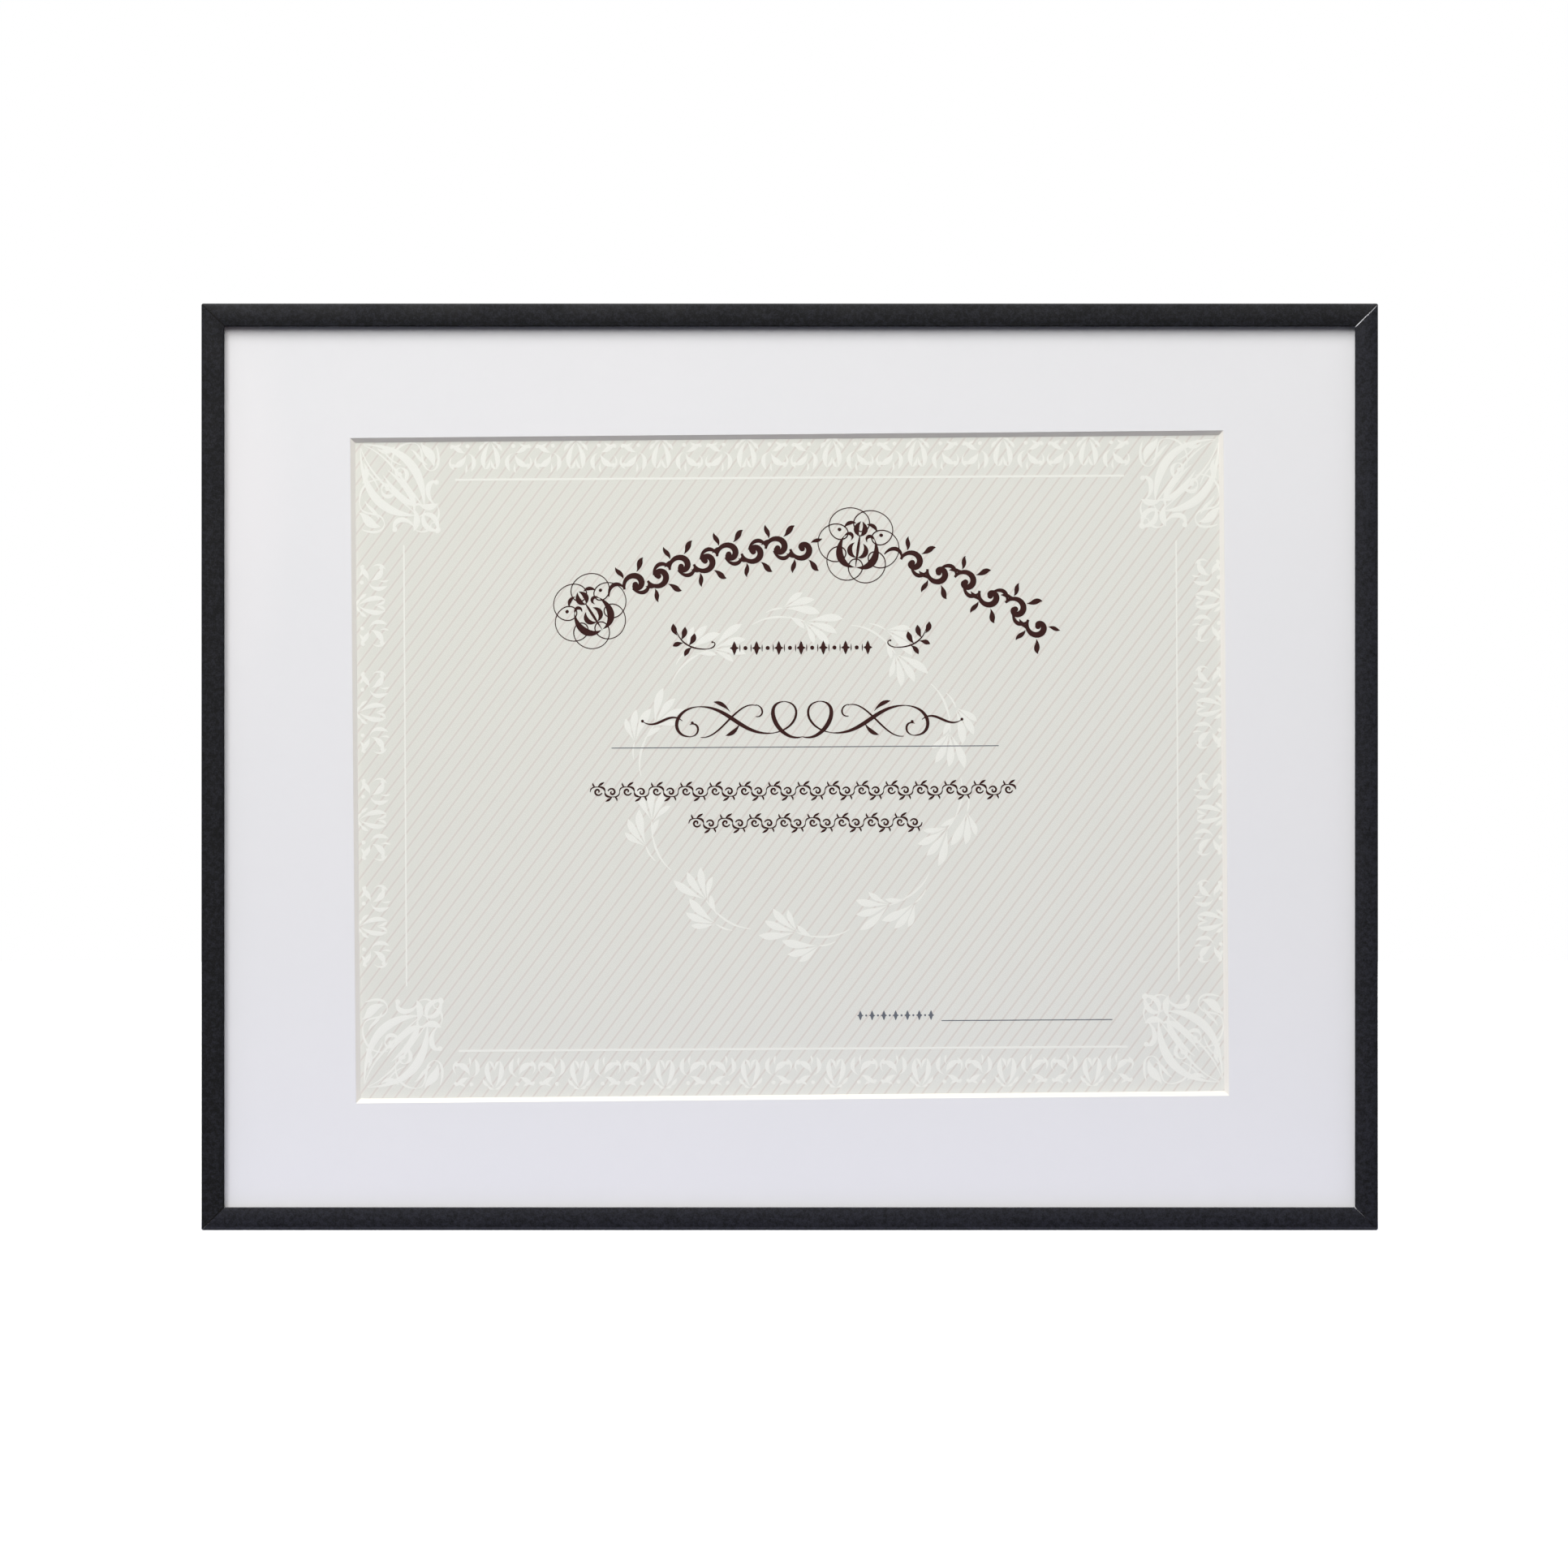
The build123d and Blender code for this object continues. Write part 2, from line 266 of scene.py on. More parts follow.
studio = Finish(bpy.data.worlds.new("white_studio"))
strength = AMBIENT + looked_along(studio) * (1 - AMBIENT)
white = studio.node("ShaderNodeBackground", sockets={"Color": (1, 1, 1, 1), "Strength": strength})
scene.world = studio.done(white)

pale = material("pale_floor")
matt = pale.node("ShaderNodeBsdfDiffuse", sockets={"Color": paint(240, 240, 240)})
x, y, z = pale.axes()
far_out = abs(x).most(abs(y)).step(GLOW_NEAR, GLOW_FAR)
shine = looked_along(pale) * (FLOOR_GLOW + far_out * (1 - FLOOR_GLOW))
glow = pale.node("ShaderNodeEmission", sockets={"Color": (1, 1, 1, 1), "Strength": shine})
pale_floor = pale.done(pale.node("ShaderNodeAddShader", sockets={0: matt, 1: glow}))

CORNER_SIGNS = np.array([(-1, -1), (1, -1), (1, 1), (-1, 1)])


def plane(name, middle, across, up, finish):
    """A flat square on two half-edge vectors: the four corners are middle ± across ± up."""
    mesh = bpy.data.meshes.new(name)
    mesh.from_pydata(np.array(middle) + CORNER_SIGNS @ np.array([across, up]), [], [(0, 1, 2, 3)])
    mesh.materials.append(finish)
    made = bpy.data.objects.new(name, mesh)
    scene.collection.objects.link(made)
    return made


half_floor = FLOOR_SIZE / 2
plane("floor", (0, 0, cad_low.z), (half_floor, 0, 0), (0, half_floor, 0), pale_floor)
print(f"floor at z {cad_low.z / MM:.1f} mm")

# %% [markdown]
# The photograph tells where its light comes from. The shadow of the top rail fades out 5 mm below it and
# that of the left rail after 2 mm, though both rails stand the same 3.5 mm in front of the mat. The width
# over that height is the tangent of the angle up to which light arrives: 54 degrees from above, 34 from the
# left. The other rails throw no shadow. So one soft box, taller than wide, hangs up in front on the left.
# A weaker one at the back shows the hardware in the views from behind.
# A lamp's watts say little, so we work them out from how bright a white sheet should come out. A sheet
# that faces a lamp of P watts at distance d looks as bright as P / (pi² d²).

# %% Lamps
FRONT_LEVEL, BACK_LEVEL = 0.90, 0.62
FRONT_PLACE, BACK_PLACE = (-0.34, -1.6, 1.3), (1.2, 1.9, 1.3)
FRONT_SIZE, BACK_SIZE = (1.4, 1.7), (1.5, 1.5)


def soft_box(name, place, size, level, warmth):
    """A lamp aimed at the frame that lights a white sheet there to the level: its watts are the level times
    pi² d², divided by how squarely the light falls on a sheet that faces along y."""
    lamp = bpy.data.lights.new(name, "AREA")
    lamp.shape = "RECTANGLE"
    lamp.size, lamp.size_y = size
    lamp.color = warmth
    away = np.array(place)
    distance = np.linalg.norm(away)
    facing = abs(away[1]) / distance
    lamp.energy = level * math.pi**2 * distance**2 / facing
    made = bpy.data.objects.new(name, lamp)
    made.location = place
    made.rotation_euler = Vector(-away).to_track_quat("-Z", "Y").to_euler()
    made.visible_camera = False
    scene.collection.objects.link(made)
    print(f"{name}: {lamp.energy:.0f} W at {distance:.2f} m")


soft_box("key_box", FRONT_PLACE, FRONT_SIZE, FRONT_LEVEL, (1.0, 0.985, 0.965))
soft_box("back_box", BACK_PLACE, BACK_SIZE, BACK_LEVEL, (1.0, 1.0, 1.0))

# %% [markdown]
# Glass mirrors whatever stands in front of it. Photographers hang a black cloth behind the camera and lay
# it along the table, so that the print keeps its depth. The camera doesn't see ours. The cloth that hangs
# shows in reflections only, and the one on the table also keeps the floor from lighting the mat from below.
# The laid cloth also glows a faint blue for diffuse rays near the frame, a painted light that tints the lower
# part of the mat. Both grow brighter far out, so that a view from the side gets a soft gradient in the glass
# and no edge.
# At the upper left a faint pink glimmer comes through, the pale flare in the photograph's glass.

# %% Black cloth
CLOTH_HALF = 3.0
CLOTH_Y = -2.6
CLOTH_FRONT = 0.02
CLOTH_LIFT = 0.001
DARK_TO, WHITE_FROM = 1800.0, 3200.0
FLARE_MIDDLE = (-395.0, 190.0)
FLARE_HALF = (45.0, 150.0)
FLARE_GLOW = 0.34
BLUE_GLOW_REACH = 330.0
PAINTED_BLUE_GLOW = 0.40
CLOTH_GLOW, FAR_GLOW = 0.012, 0.5


def cloth(black, tint, glimmer):
    """Finishes black cloth. It glows in the tint by the glimmer and a trace more. Far out the tint turns
    white, and the glow is at least the far glow times how far out the place is."""
    x, y, z = black.axes()
    far = abs(x).most(abs(z)).step(DARK_TO, WHITE_FROM)
    shade = black.tint(far, tint, (1, 1, 1, 1))
    strength = (glimmer + CLOTH_GLOW).most(far * FAR_GLOW)
    return black.done(black.node("ShaderNodeEmission", sockets={"Color": shade, "Strength": strength}))


black = material("cloth_hung")
x, y, z = black.axes()
# The flare is a painted reflection: a faint pink patch glows on the hung cloth, and the glass mirrors it at
# the upper left.
across = (x - FLARE_MIDDLE[0]) / FLARE_HALF[0]
up = (z - FLARE_MIDDLE[1]) / FLARE_HALF[1]
flare = (across * across + up * up).step(1.6, 0.0) * FLARE_GLOW
hung_finish = cloth(black, (1.0, 0.72, 0.66, 1), flare)
hung = plane("cloth_hung", (0, CLOTH_Y, 0), (CLOTH_HALF, 0, 0), (0, 0, CLOTH_HALF), hung_finish)
hung.visible_diffuse = False

black = material("cloth_laid")
x, y, z = black.axes()
scattered = black.node("ShaderNodeLightPath", out="Is Diffuse Ray")
# Near the frame the laid cloth glows a faint blue for diffuse rays only: painted light on the lower part of
# the mat.
laid_finish = cloth(black, (0.58, 0.57, 1.0, 1), abs(y).step(BLUE_GLOW_REACH, 0.0) * scattered * PAINTED_BLUE_GLOW)
laid_middle = (0, (CLOTH_FRONT + CLOTH_Y) / 2, cad_low.z + CLOTH_LIFT)
laid_half = (CLOTH_FRONT - CLOTH_Y) / 2
laid = plane("cloth_laid", laid_middle, (CLOTH_HALF, 0, 0), (0, laid_half, 0), laid_finish)
for piece in (hung, laid):
    piece.visible_camera = False
    piece.visible_shadow = False
    piece.visible_transmission = False
print(f"cloth hung at y {CLOTH_Y} m and laid from there to y {CLOTH_FRONT} m")

# %% [markdown]
# ## Rails: black powder coat over aluminium
# The bars are coated before they are sawn to length. So the mitres show bare metal: a bright hairline
# where the saw broke the coat back, beside the dark joint. A hairline a few tenths of a millimetre wide is
# best left to the material: it measures how far a point lies from the sawn face, and shows aluminium close
# to it. The photograph's corners differ, and each gets its own widths. The sawn faces themselves are bare,
# which shows when the right rail is pulled off. Only their front half millimetre is touched up black.
# The coat is matt, with an orange-peel grain under half a millimetre across and faint mottling above it. It
# is nearly black, so most of what the camera sees is sheen: the face is slightly crowned, and its edge
# towards the lamp shines more. Each rail is also painted a little lighter or darker by its own tone, as
# painted light and shade: the bottom and right rails lighter, the top and left ones darker. The dark band
# along each joint is painted shade in the gap.

# %% Powder coat
LEVEL_RAILS = ("coat_top", "coat_bottom")
FACE_WIDTH = 7.0
SAW_AT = 0.05
SAWN_SKIN = 0.01
TOUCHED_UP = 0.5
CHIP_SIZE, CHIP_DEPTH = 0.4, 0.04
HAIRLINE_BLUR, JOINT_BLUR = 0.02, 0.06
HAIRLINE_STARTS, PEEL_STARTS = (0.04, 0.09), (0.03, 0.14)
COAT_GRAIN, COAT_MOTTLE, COAT_CLOUD = 0.4, 1.3, 9.0
SAW_MARKS = 0.09
COAT_RELIEF = 0.02
BURIED = -0.2


def powder_coat(name, painted_light_tone, first, last):
    """Black coat, made lighter by tone, which is painted light and shade. first and last describe the rail's
    ends, left and right or bottom and top, each by three widths in mm: the bare hairline at the outer and the
    inner corner, and the dark joint, which is painted shade. The hairline is where the distance from the saw
    is less than its width. A width below 0 buries it. Line and grain start a small share of the face's width
    inside the rail's outer edge."""
    coat = material(name)
    x, y, z = coat.axes()
    if name in LEVEL_RAILS:
        far_end = x.step(-1, 1)
        inward = (half_height - abs(z)) / FACE_WIDTH
    else:
        far_end = z.step(-1, 1)
        inward = (half_width - abs(x)) / FACE_WIDTH
    outer, inner, joint_shade = [a + far_end * (b - a) for a, b in zip(first, last)]
    from_saw = abs((abs(x) - half_width) - (abs(z) - half_height)) / math.sqrt(2) - SAW_AT
    chipped = (coat.grain(CHIP_SIZE) - 0.5) * CHIP_DEPTH
    hairline = outer + inward * (inner - outer) + chipped - from_saw
    hairline = hairline.step(-HAIRLINE_BLUR, HAIRLINE_BLUR) * inward.step(*HAIRLINE_STARTS)
    sawn = from_saw.step(1.2 * SAWN_SKIN, 0.8 * SAWN_SKIN)
    bare = hairline.most(sawn * (y - front_y).step(TOUCHED_UP, 1.2 * TOUCHED_UP))
    # The joint is painted shade: near the mitre the coat turns almost black, as the shadow in the gap.
    dark = (joint_shade - from_saw).step(-JOINT_BLUR, JOINT_BLUR)

    peel = coat.grain(COAT_GRAIN, detail=2.0, rough=0.6).step(0.28, 0.72)
    fine = coat.grain(COAT_GRAIN / 2, detail=1.0)
    cloudy = coat.grain(COAT_CLOUD, detail=3.0).step(0.3, 0.7)
    mottled = coat.grain(COAT_MOTTLE, detail=3.0, rough=0.6).step(0.3, 0.7)
    shade = coat.tint(peel * 0.5 + mottled * 0.45 - 0.17 + painted_light_tone, paint(1, 2, 5), paint(40, 41, 50))
    shade = coat.tint(dark, shade, paint(4, 4, 5))
    shade = coat.tint(bare, shade, paint(196, 197, 202))
    saw_marks = coat.grain(SAW_MARKS, stretch=(1, 0.12, 1)) * bare
    coated = (peel * 0.8 + fine * 0.2) * (1 - bare) * inward.step(*PEEL_STARTS)
    return coat.done(
        coat.principled(
            Base_Color=shade,
            Metallic=bare,
            Roughness=0.50 + cloudy * 0.12 - bare * 0.18,
            Specular_IOR_Level=0.22,
            Normal=coat.bump(coated + saw_marks * 0.2, COAT_RELIEF),
        )
    )


# The second number is each rail's tone, painted light and shade: above 0 paints the rail lighter, below 0
# darker.
dress(powder_coat("coat_top", -0.14, (BURIED, BURIED, 0.30), (BURIED, BURIED, 0.30)), "top_rail")
dress(powder_coat("coat_bottom", 0.16, (0.03, -0.05, 0.05), (-0.12, 0.12, 0.0)), "bottom_rail")
dress(powder_coat("coat_left", -0.14, (BURIED, BURIED, 0.30), (BURIED, BURIED, 0.12)), "left_rail")
dress(powder_coat("coat_right", 0.08, (-0.10, 0.05, 0.06), (0.29, 0.23, 0.0)), "right_rail")

# %% [markdown]
# ## Pieces of our own
# The filler in the joints, the glass and the print are solids that we add. All are stacks of rings with four
# corners each: quads join every ring to the next, and the end rings are closed. So one function serves all.
# Points that lie in the plane of the frame are complex numbers, x + z·i in millimetres. Then a turn is one
# multiplication, a mirror image is a conjugate, and numpy moves hundreds of pieces at once.

# %% Closed solids from rings


def solids(name, stacks, finish):
    """One piece of closed solids that rides on the frame. Each stack holds many solids: their plan, x + z·i,
    and their depth, y, as arrays of solids by rings by four corners. Seen from the first ring towards the
    last, the corners run anticlockwise, which turns every face outwards."""
    points, faces, first = [], [], 0
    for plan, depth in stacks:
        points.append(np.stack([plan.real, np.broadcast_to(depth, plan.shape), plan.imag], axis=3))
        number = first + np.arange(plan.size).reshape(plan.shape)
        here, there = number[:, :-1], number[:, 1:]
        sides = np.stack([here, there, np.roll(there, -1, axis=2), np.roll(here, -1, axis=2)], axis=3)
        faces += [sides.reshape(-1, 4), number[:, 0], number[:, -1, ::-1]]
        first += plan.size
    mesh = bpy.data.meshes.new(name)
    corners = np.concatenate([block.reshape(-1, 3) for block in points])
    mesh.from_pydata(corners * MM, [], np.concatenate(faces).tolist())
    mesh.materials.append(finish)
    made = bpy.data.objects.new(name, mesh)
    scene.collection.objects.link(made)
    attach(made, "frame")
    print(f"{name}: {sum(len(plan) for plan, depth in stacks)} solids, {2 * len(mesh.polygons)} triangles")
    return made


# %% [markdown]
# ## Black filler in the mitres
# The sawn faces stand a tenth of a millimetre apart, and the white background would shine through such a
# slit. On a real frame powder and shadow close it. We lay a thin black bar in each joint, deep enough to
# stay out of sight, rather than paint the joint, because paint can't stop the light behind it.
# A bar runs along its corner's diagonal. Turned by a right angle, the diagonal points to the bar's side.

# %% Mitre filler
FILLER_HALF = 0.045
FILLER_DEPTHS = np.array([0.35, 0.95])
FILLER_ENDS = np.array([0.25, 6.9])
PUTTY_GRAIN = 0.3

putty = material("mitre_filler")
putty_tone = putty.tint(putty.grain(PUTTY_GRAIN), paint(5, 5, 7), paint(14, 14, 17))
putty_black = putty.done(putty.principled(Base_Color=putty_tone, Roughness=0.7))

corner = CORNER_SIGNS @ np.array([1, 1j])
width_left = half_width - FILLER_ENDS
height_left = half_height - FILLER_ENDS
ends = corner.real[:, None] * width_left + 1j * corner.imag[:, None] * height_left
side = -1j * corner[:, None] / math.sqrt(2) * FILLER_HALF
outer, inner = ends[:, :1], ends[:, 1:]
outline = np.concatenate([outer + side, outer - side, inner - side, inner + side], axis=1)
bars = np.stack([outline, outline], axis=1)
solids("mitre_filler", [(bars, (front_y + FILLER_DEPTHS)[:, None])], putty_black)

# %% [markdown]
# ## Picture glass
# Two millimetres of float glass hardly bend light, so nothing is gained by true refraction, and lamp light
# would not get through it. We mix a clear shader with a mirror by Fresnel, which gives the four in a
# hundred that each face of real glass reflects, and more at a slant. Shadow and diffuse rays pass it
# undimmed: a slab that doesn't bend light would throw the mat's own light back at it from centimetres away,
# and darken the mat along the rails. A ray that leaves the pane isn't mirrored either: unbent, it would meet
# the far face too flatly, and be thrown back whole. The near face mirrors for both, so its share is doubled.
# The ground edges are pale green: they show once the side rail is off.
# The pane presses flat on the mat. Two faces in one plane confuse a renderer, which then finds now one and
# now the other first and leaves dark triangles. So our own pane takes the place of the model's: it has the
# same outline, ends a hair in front of the mat, and its sharp edges are broken, as a glazier does.

# %% Glass
PANE_OFF_MAT = 0.04
SEAM = 0.25
EDGE_BAND = 0.6
BOTH_FACES = 1.9
GLASS_INDEX = 1.5

glass_low, glass_high = [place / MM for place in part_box("glass_pane")]
pane_back = glass_high.y - PANE_OFF_MAT

pane = material("picture_glass")
x, y, z = pane.axes()
near_side = (abs(x) - (glass_high.x - EDGE_BAND)).step(0.0, EDGE_BAND)
near_end = (abs(z) - (glass_high.z - EDGE_BAND)).step(0.0, EDGE_BAND)
edge = near_side.most(near_end)
clear = pane.node("ShaderNodeBsdfTransparent", sockets={"Color": (0.985, 0.99, 0.988, 1)})
mirror = pane.principled(Base_Color=(1, 1, 1, 1), Metallic=1.0, Roughness=0.015)
ground = pane.principled(Base_Color=paint(150, 196, 178), Roughness=0.35, Transmission_Weight=0.4)
ray = pane.node("ShaderNodeLightPath", out="Is Shadow Ray")
leaving = pane.node("ShaderNodeNewGeometry", out="Backfacing")
unmirrored = ray.most(ray.also("Is Diffuse Ray")).most(leaving)
fresnel = pane.node("ShaderNodeFresnel", sockets={"IOR": GLASS_INDEX}) * BOTH_FACES * (1 - unmirrored)
picture_glass = pane.done(pane.mix(edge, pane.mix(fresnel, clear, mirror), ground))

depths = np.array([glass_low.y, glass_low.y + SEAM, pane_back - SEAM, pane_back])
insets = np.array([SEAM, 0, 0, SEAM])[:, None]
rings = corner.real * (glass_high.x - insets) + 1j * corner.imag * (glass_high.z - insets)
glass = solids("glass", [(rings[None], depths[:, None])], picture_glass)
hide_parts("glass_pane")

# %% [markdown]
# ## Mat board and papers
# The mat is a pressed board with a fine tooth on its white face. The bevel is cut at 45 degrees and opens
# the core, which is creamier. Both belong to one solid, so depth tells them apart: anything that lies
# behind the face by a few hundredths of a millimetre is core.

# %% Mat board
CORE_BEHIND = 0.03
BOARD_TOOTH, BOARD_CLOUD, BOARD_FIBRE = 0.35, 40.0, 0.2
TOOTH_RELIEF = 0.012

board = material("mat_board")
mat_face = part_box("window_mat")[0].y / MM
x, y, z = board.axes()
core = (y - mat_face).step(CORE_BEHIND, 2 * CORE_BEHIND)
tooth = board.grain(BOARD_TOOTH, detail=3.0, rough=0.6)
cloudy = board.grain(BOARD_CLOUD)
face = board.tint(cloudy, paint(236, 235, 238), paint(238, 236, 239))
fibre = board.grain(BOARD_FIBRE, stretch=(1, 3, 1))
inside = board.tint(fibre, paint(241, 236, 229), paint(246, 242, 236))
dress(
    board.done(
        board.principled(
            Base_Color=board.tint(core, face, inside),
            Roughness=0.9,
            Specular_IOR_Level=0.25,
            Normal=board.bump(tooth, TOOTH_RELIEF),
        )
    ),
    "window_mat",
)

# %% [markdown]
# The certificate is thin smooth paper, printed with slanting hairlines 3 mm apart. They could be painted
# as an image, but a formula stays sharp at any size: the sine of the distance across the lines tells where
# we are between two of them. Its crest gives the line, and its flank a paler band beside it.

# %% Certificate paper
STRIPE_PITCH = 3.05
STRIPE_NORMAL = (0.8, -0.6)
SHEET_REACH = 150
PAPER_FLECK, PAPER_TOOTH = 0.3, 0.25
PAPER_RELIEF = 0.004

paper = material("certificate_paper")
x, y, z = paper.axes()
across = x * STRIPE_NORMAL[0] + z * STRIPE_NORMAL[1]
beat = (across * (2 * math.pi / STRIPE_PITCH)).wave()
line = beat.step(0.72, 0.98)
shoulder = beat.step(0.05, 0.7) - line
# Towards the lower right the paper is painted a little lighter and bluer: painted light.
painted_light_fade = across.step(-SHEET_REACH, SHEET_REACH)
ground = paper.tint(painted_light_fade, paint(228, 227, 219), paint(230, 229, 223))
ground = paper.tint(shoulder * 0.5, ground, paint(234, 230, 223))
ground = paper.tint(line, ground, paint(220, 213, 206))
fleck = paper.grain(PAPER_FLECK, detail=3.0)
ground = paper.tint(fleck.step(0.35, 0.75) * 0.25, ground, paint(237, 237, 233))
dress(
    paper.done(
        paper.principled(
            Base_Color=ground,
            Roughness=0.78,
            Specular_IOR_Level=0.3,
            Normal=paper.bump(paper.grain(PAPER_TOOTH, detail=2.0), PAPER_RELIEF),
        )
    ),
    "certificate_sheet",
)

# %% [markdown]
# Behind the sheet lie its gummed paper hinges and the mount card. The hinges are long-fibred paper, so
# their noise is stretched along the strips, and the card shows plain pulp.

# %% Hinge paper and mount card
LONG_FIBRE, PULP = 0.3, 0.5
FIBRE_RELIEF = 0.02

tape = material("hinge_paper")
long_fibre = tape.grain(LONG_FIBRE, stretch=(1, 1, 0.15), detail=4.0)
dress(
    tape.done(
        tape.principled(
            Base_Color=tape.tint(long_fibre, paint(226, 216, 194), paint(246, 240, 226)),
            Roughness=0.9,
            Normal=tape.bump(long_fibre, FIBRE_RELIEF),
        )
    ),
    "hinge_tapes",
)

card = material("mount_card")
pulp = card.grain(PULP, detail=4.0, rough=0.6)
dress(
    card.done(
        card.principled(
            Base_Color=card.tint(pulp, paint(214, 212, 204), paint(230, 228, 221)),
            Roughness=0.92,
            Normal=card.bump(pulp, FIBRE_RELIEF),
        )
    ),
    "mount_board",
)

# %% [markdown]
# ## The print
# The sheet carries a whitish border, corner scrolls and a wreath, and dark maroon ornaments in the middle.
# Ink has no thickness to speak of, so an image would do, but drawn shapes stay sharp in any close view.
# Every ornament here is made of pen strokes. A stroke is a centre line and a half-width that swells and
# tapers along it, and turning it into a solid is carrying a thin flat section along a path.

# %% Pen strokes


def pen(handles, widest, belly=0.5, thin=0.04, steps=14):
    """Tapering strokes through cubic Bezier handles, four to a row. The half-width is thin at both ends and
    widest at the share belly of the way: thin + (widest - thin) · sin(pi · t^k), where t^k is a half
    at t = belly."""
    handles = np.atleast_2d(np.array(handles, complex))
    t = np.linspace(0, 1, steps)
    weights = np.stack([(1 - t) ** 3, 3 * t * (1 - t) ** 2, 3 * t**2 * (1 - t), t**3])
    power = math.log(0.5) / math.log(belly)
    swell = np.sin(math.pi * t**power).clip(0, 1)
    peak = np.broadcast_to(np.asarray(widest, float).reshape(-1, 1), (len(handles), 1))
    return handles @ weights, thin + (peak - thin) * swell


def trace(path, half):
    """One stroke along a path that a formula has worked out, with its half-width at each point."""
    path = np.atleast_2d(path)
    return path, np.broadcast_to(half, path.shape)


def dots(middles, radius, steps=14):
    """Round dots: short strokes as long as they are wide, whose half-width follows a half circle."""
    u = -np.cos(np.linspace(0.02, math.pi - 0.02, steps))
    middles = np.atleast_1d(middles)[:, None]
    radius = np.broadcast_to(radius, (len(middles), 1))
    return middles + u * radius, radius * np.sqrt(1 - u**2)


def also(*groups):
    """Several groups of strokes with equally many points, as one group."""
    return np.concatenate([g[0] for g in groups]), np.concatenate([g[1] for g in groups])


def mirrored(group, axis=1j):
    """The group with its mirror image across the line through 0 along axis."""
    return also(group, (axis**2 * group[0].conj(), group[1]))


def stamped(group, places, turns=1.0):
    """A copy of the group at each place, turned (and scaled) by that place's complex number."""
    path, half = group
    places, turns = np.broadcast_arrays(np.asarray(places, complex), np.asarray(turns, complex))
    copies = places[:, None, None] + turns[:, None, None] * path
    halves = np.abs(turns)[:, None, None] * half
    return copies.reshape(-1, path.shape[1]), halves.reshape(-1, path.shape[1])


# %% [markdown]
# Ink turns strokes into closed ribbons that bite into the paper. Strokes that cross would share a plane and
# flicker, so each lies a hair in front of the one before it. An ink also soaks into paper a little
# unevenly, which a fine noise between two close colours shows.

# %% Ink
SHEET_MIDDLE = 0.5 + 1.1j
SHEET_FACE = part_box("certificate_sheet")[0].y / MM
PRINT_TURN = math.radians(0.36)
INK_BITE = 0.02
INK_STEP = 0.0008
INK_LAYERS = 23
INK_SOAK = 0.3
AT_FRONT = np.array([1, 1, 0, 0])


def printed(name, slot, rise, dry, wet, rough):
    """An ink: its material, its slot, which nothing uses, and how far in mm it stands off the paper. Where it
    soaked in, the noise turns its dry colour into its wet one."""
    colour = material(name)
    soak = colour.grain(INK_SOAK, detail=3.0)
    finish = colour.done(
        colour.principled(Base_Color=colour.tint(soak, dry, wet), Roughness=rough, Specular_IOR_Level=0.25)
    )
    print(f"{name}: stands {rise} mm off the paper")
    return finish, slot, rise


def ink(name, groups, colour):
    """Prints groups of strokes as one piece. Each point of a path gets a ring of four corners: right and left
    of it by the half-width in front of the paper, and left and right of it just inside the paper."""
    finish, slot, rise = colour
    stacks, stroke = [], 0
    for path, half in groups:
        along = np.gradient(path, axis=1)
        side = 1j * along / np.abs(along) * half
        turned = (path + SHEET_MIDDLE) * np.exp(1j * PRINT_TURN)
        plan = np.stack([turned - side, turned + side, turned + side, turned - side], axis=2)
        layer = (stroke + np.arange(len(path))) % INK_LAYERS * INK_STEP
        front = SHEET_FACE - rise - layer[:, None, None]
        stacks.append((plan, np.where(AT_FRONT, front, SHEET_FACE + INK_BITE)))
        stroke += len(path)
    solids(name, stacks, finish)


white_ink = printed("print_white", "print_white", 0.03, paint(245, 244, 238), paint(241, 240, 234), 0.8)
maroon_ink = printed("print_maroon", "print_maroon", 0.06, paint(58, 13, 8), paint(45, 8, 5), 0.6)
grey_ink = printed("print_rule", "print_maroon", 0.05, paint(112, 116, 124), paint(96, 100, 110), 0.7)

# %% [markdown]
# ### Border and corners
# The border is a run of one motif: a palmette like an upturned heart, with a spray of curled leaves on
# each side. We draw half of it and mirror it. The sides repeat it at a wider pitch than the top.
# A rule runs inside it on each side of the sheet.

# %% Border band
BAND_FOOT = 89.6
SIDE_FOOT = 123.0
LEVEL_PITCH = 26.1
SIDE_PITCH = 32.7
SPRAY_OFF = 7.2

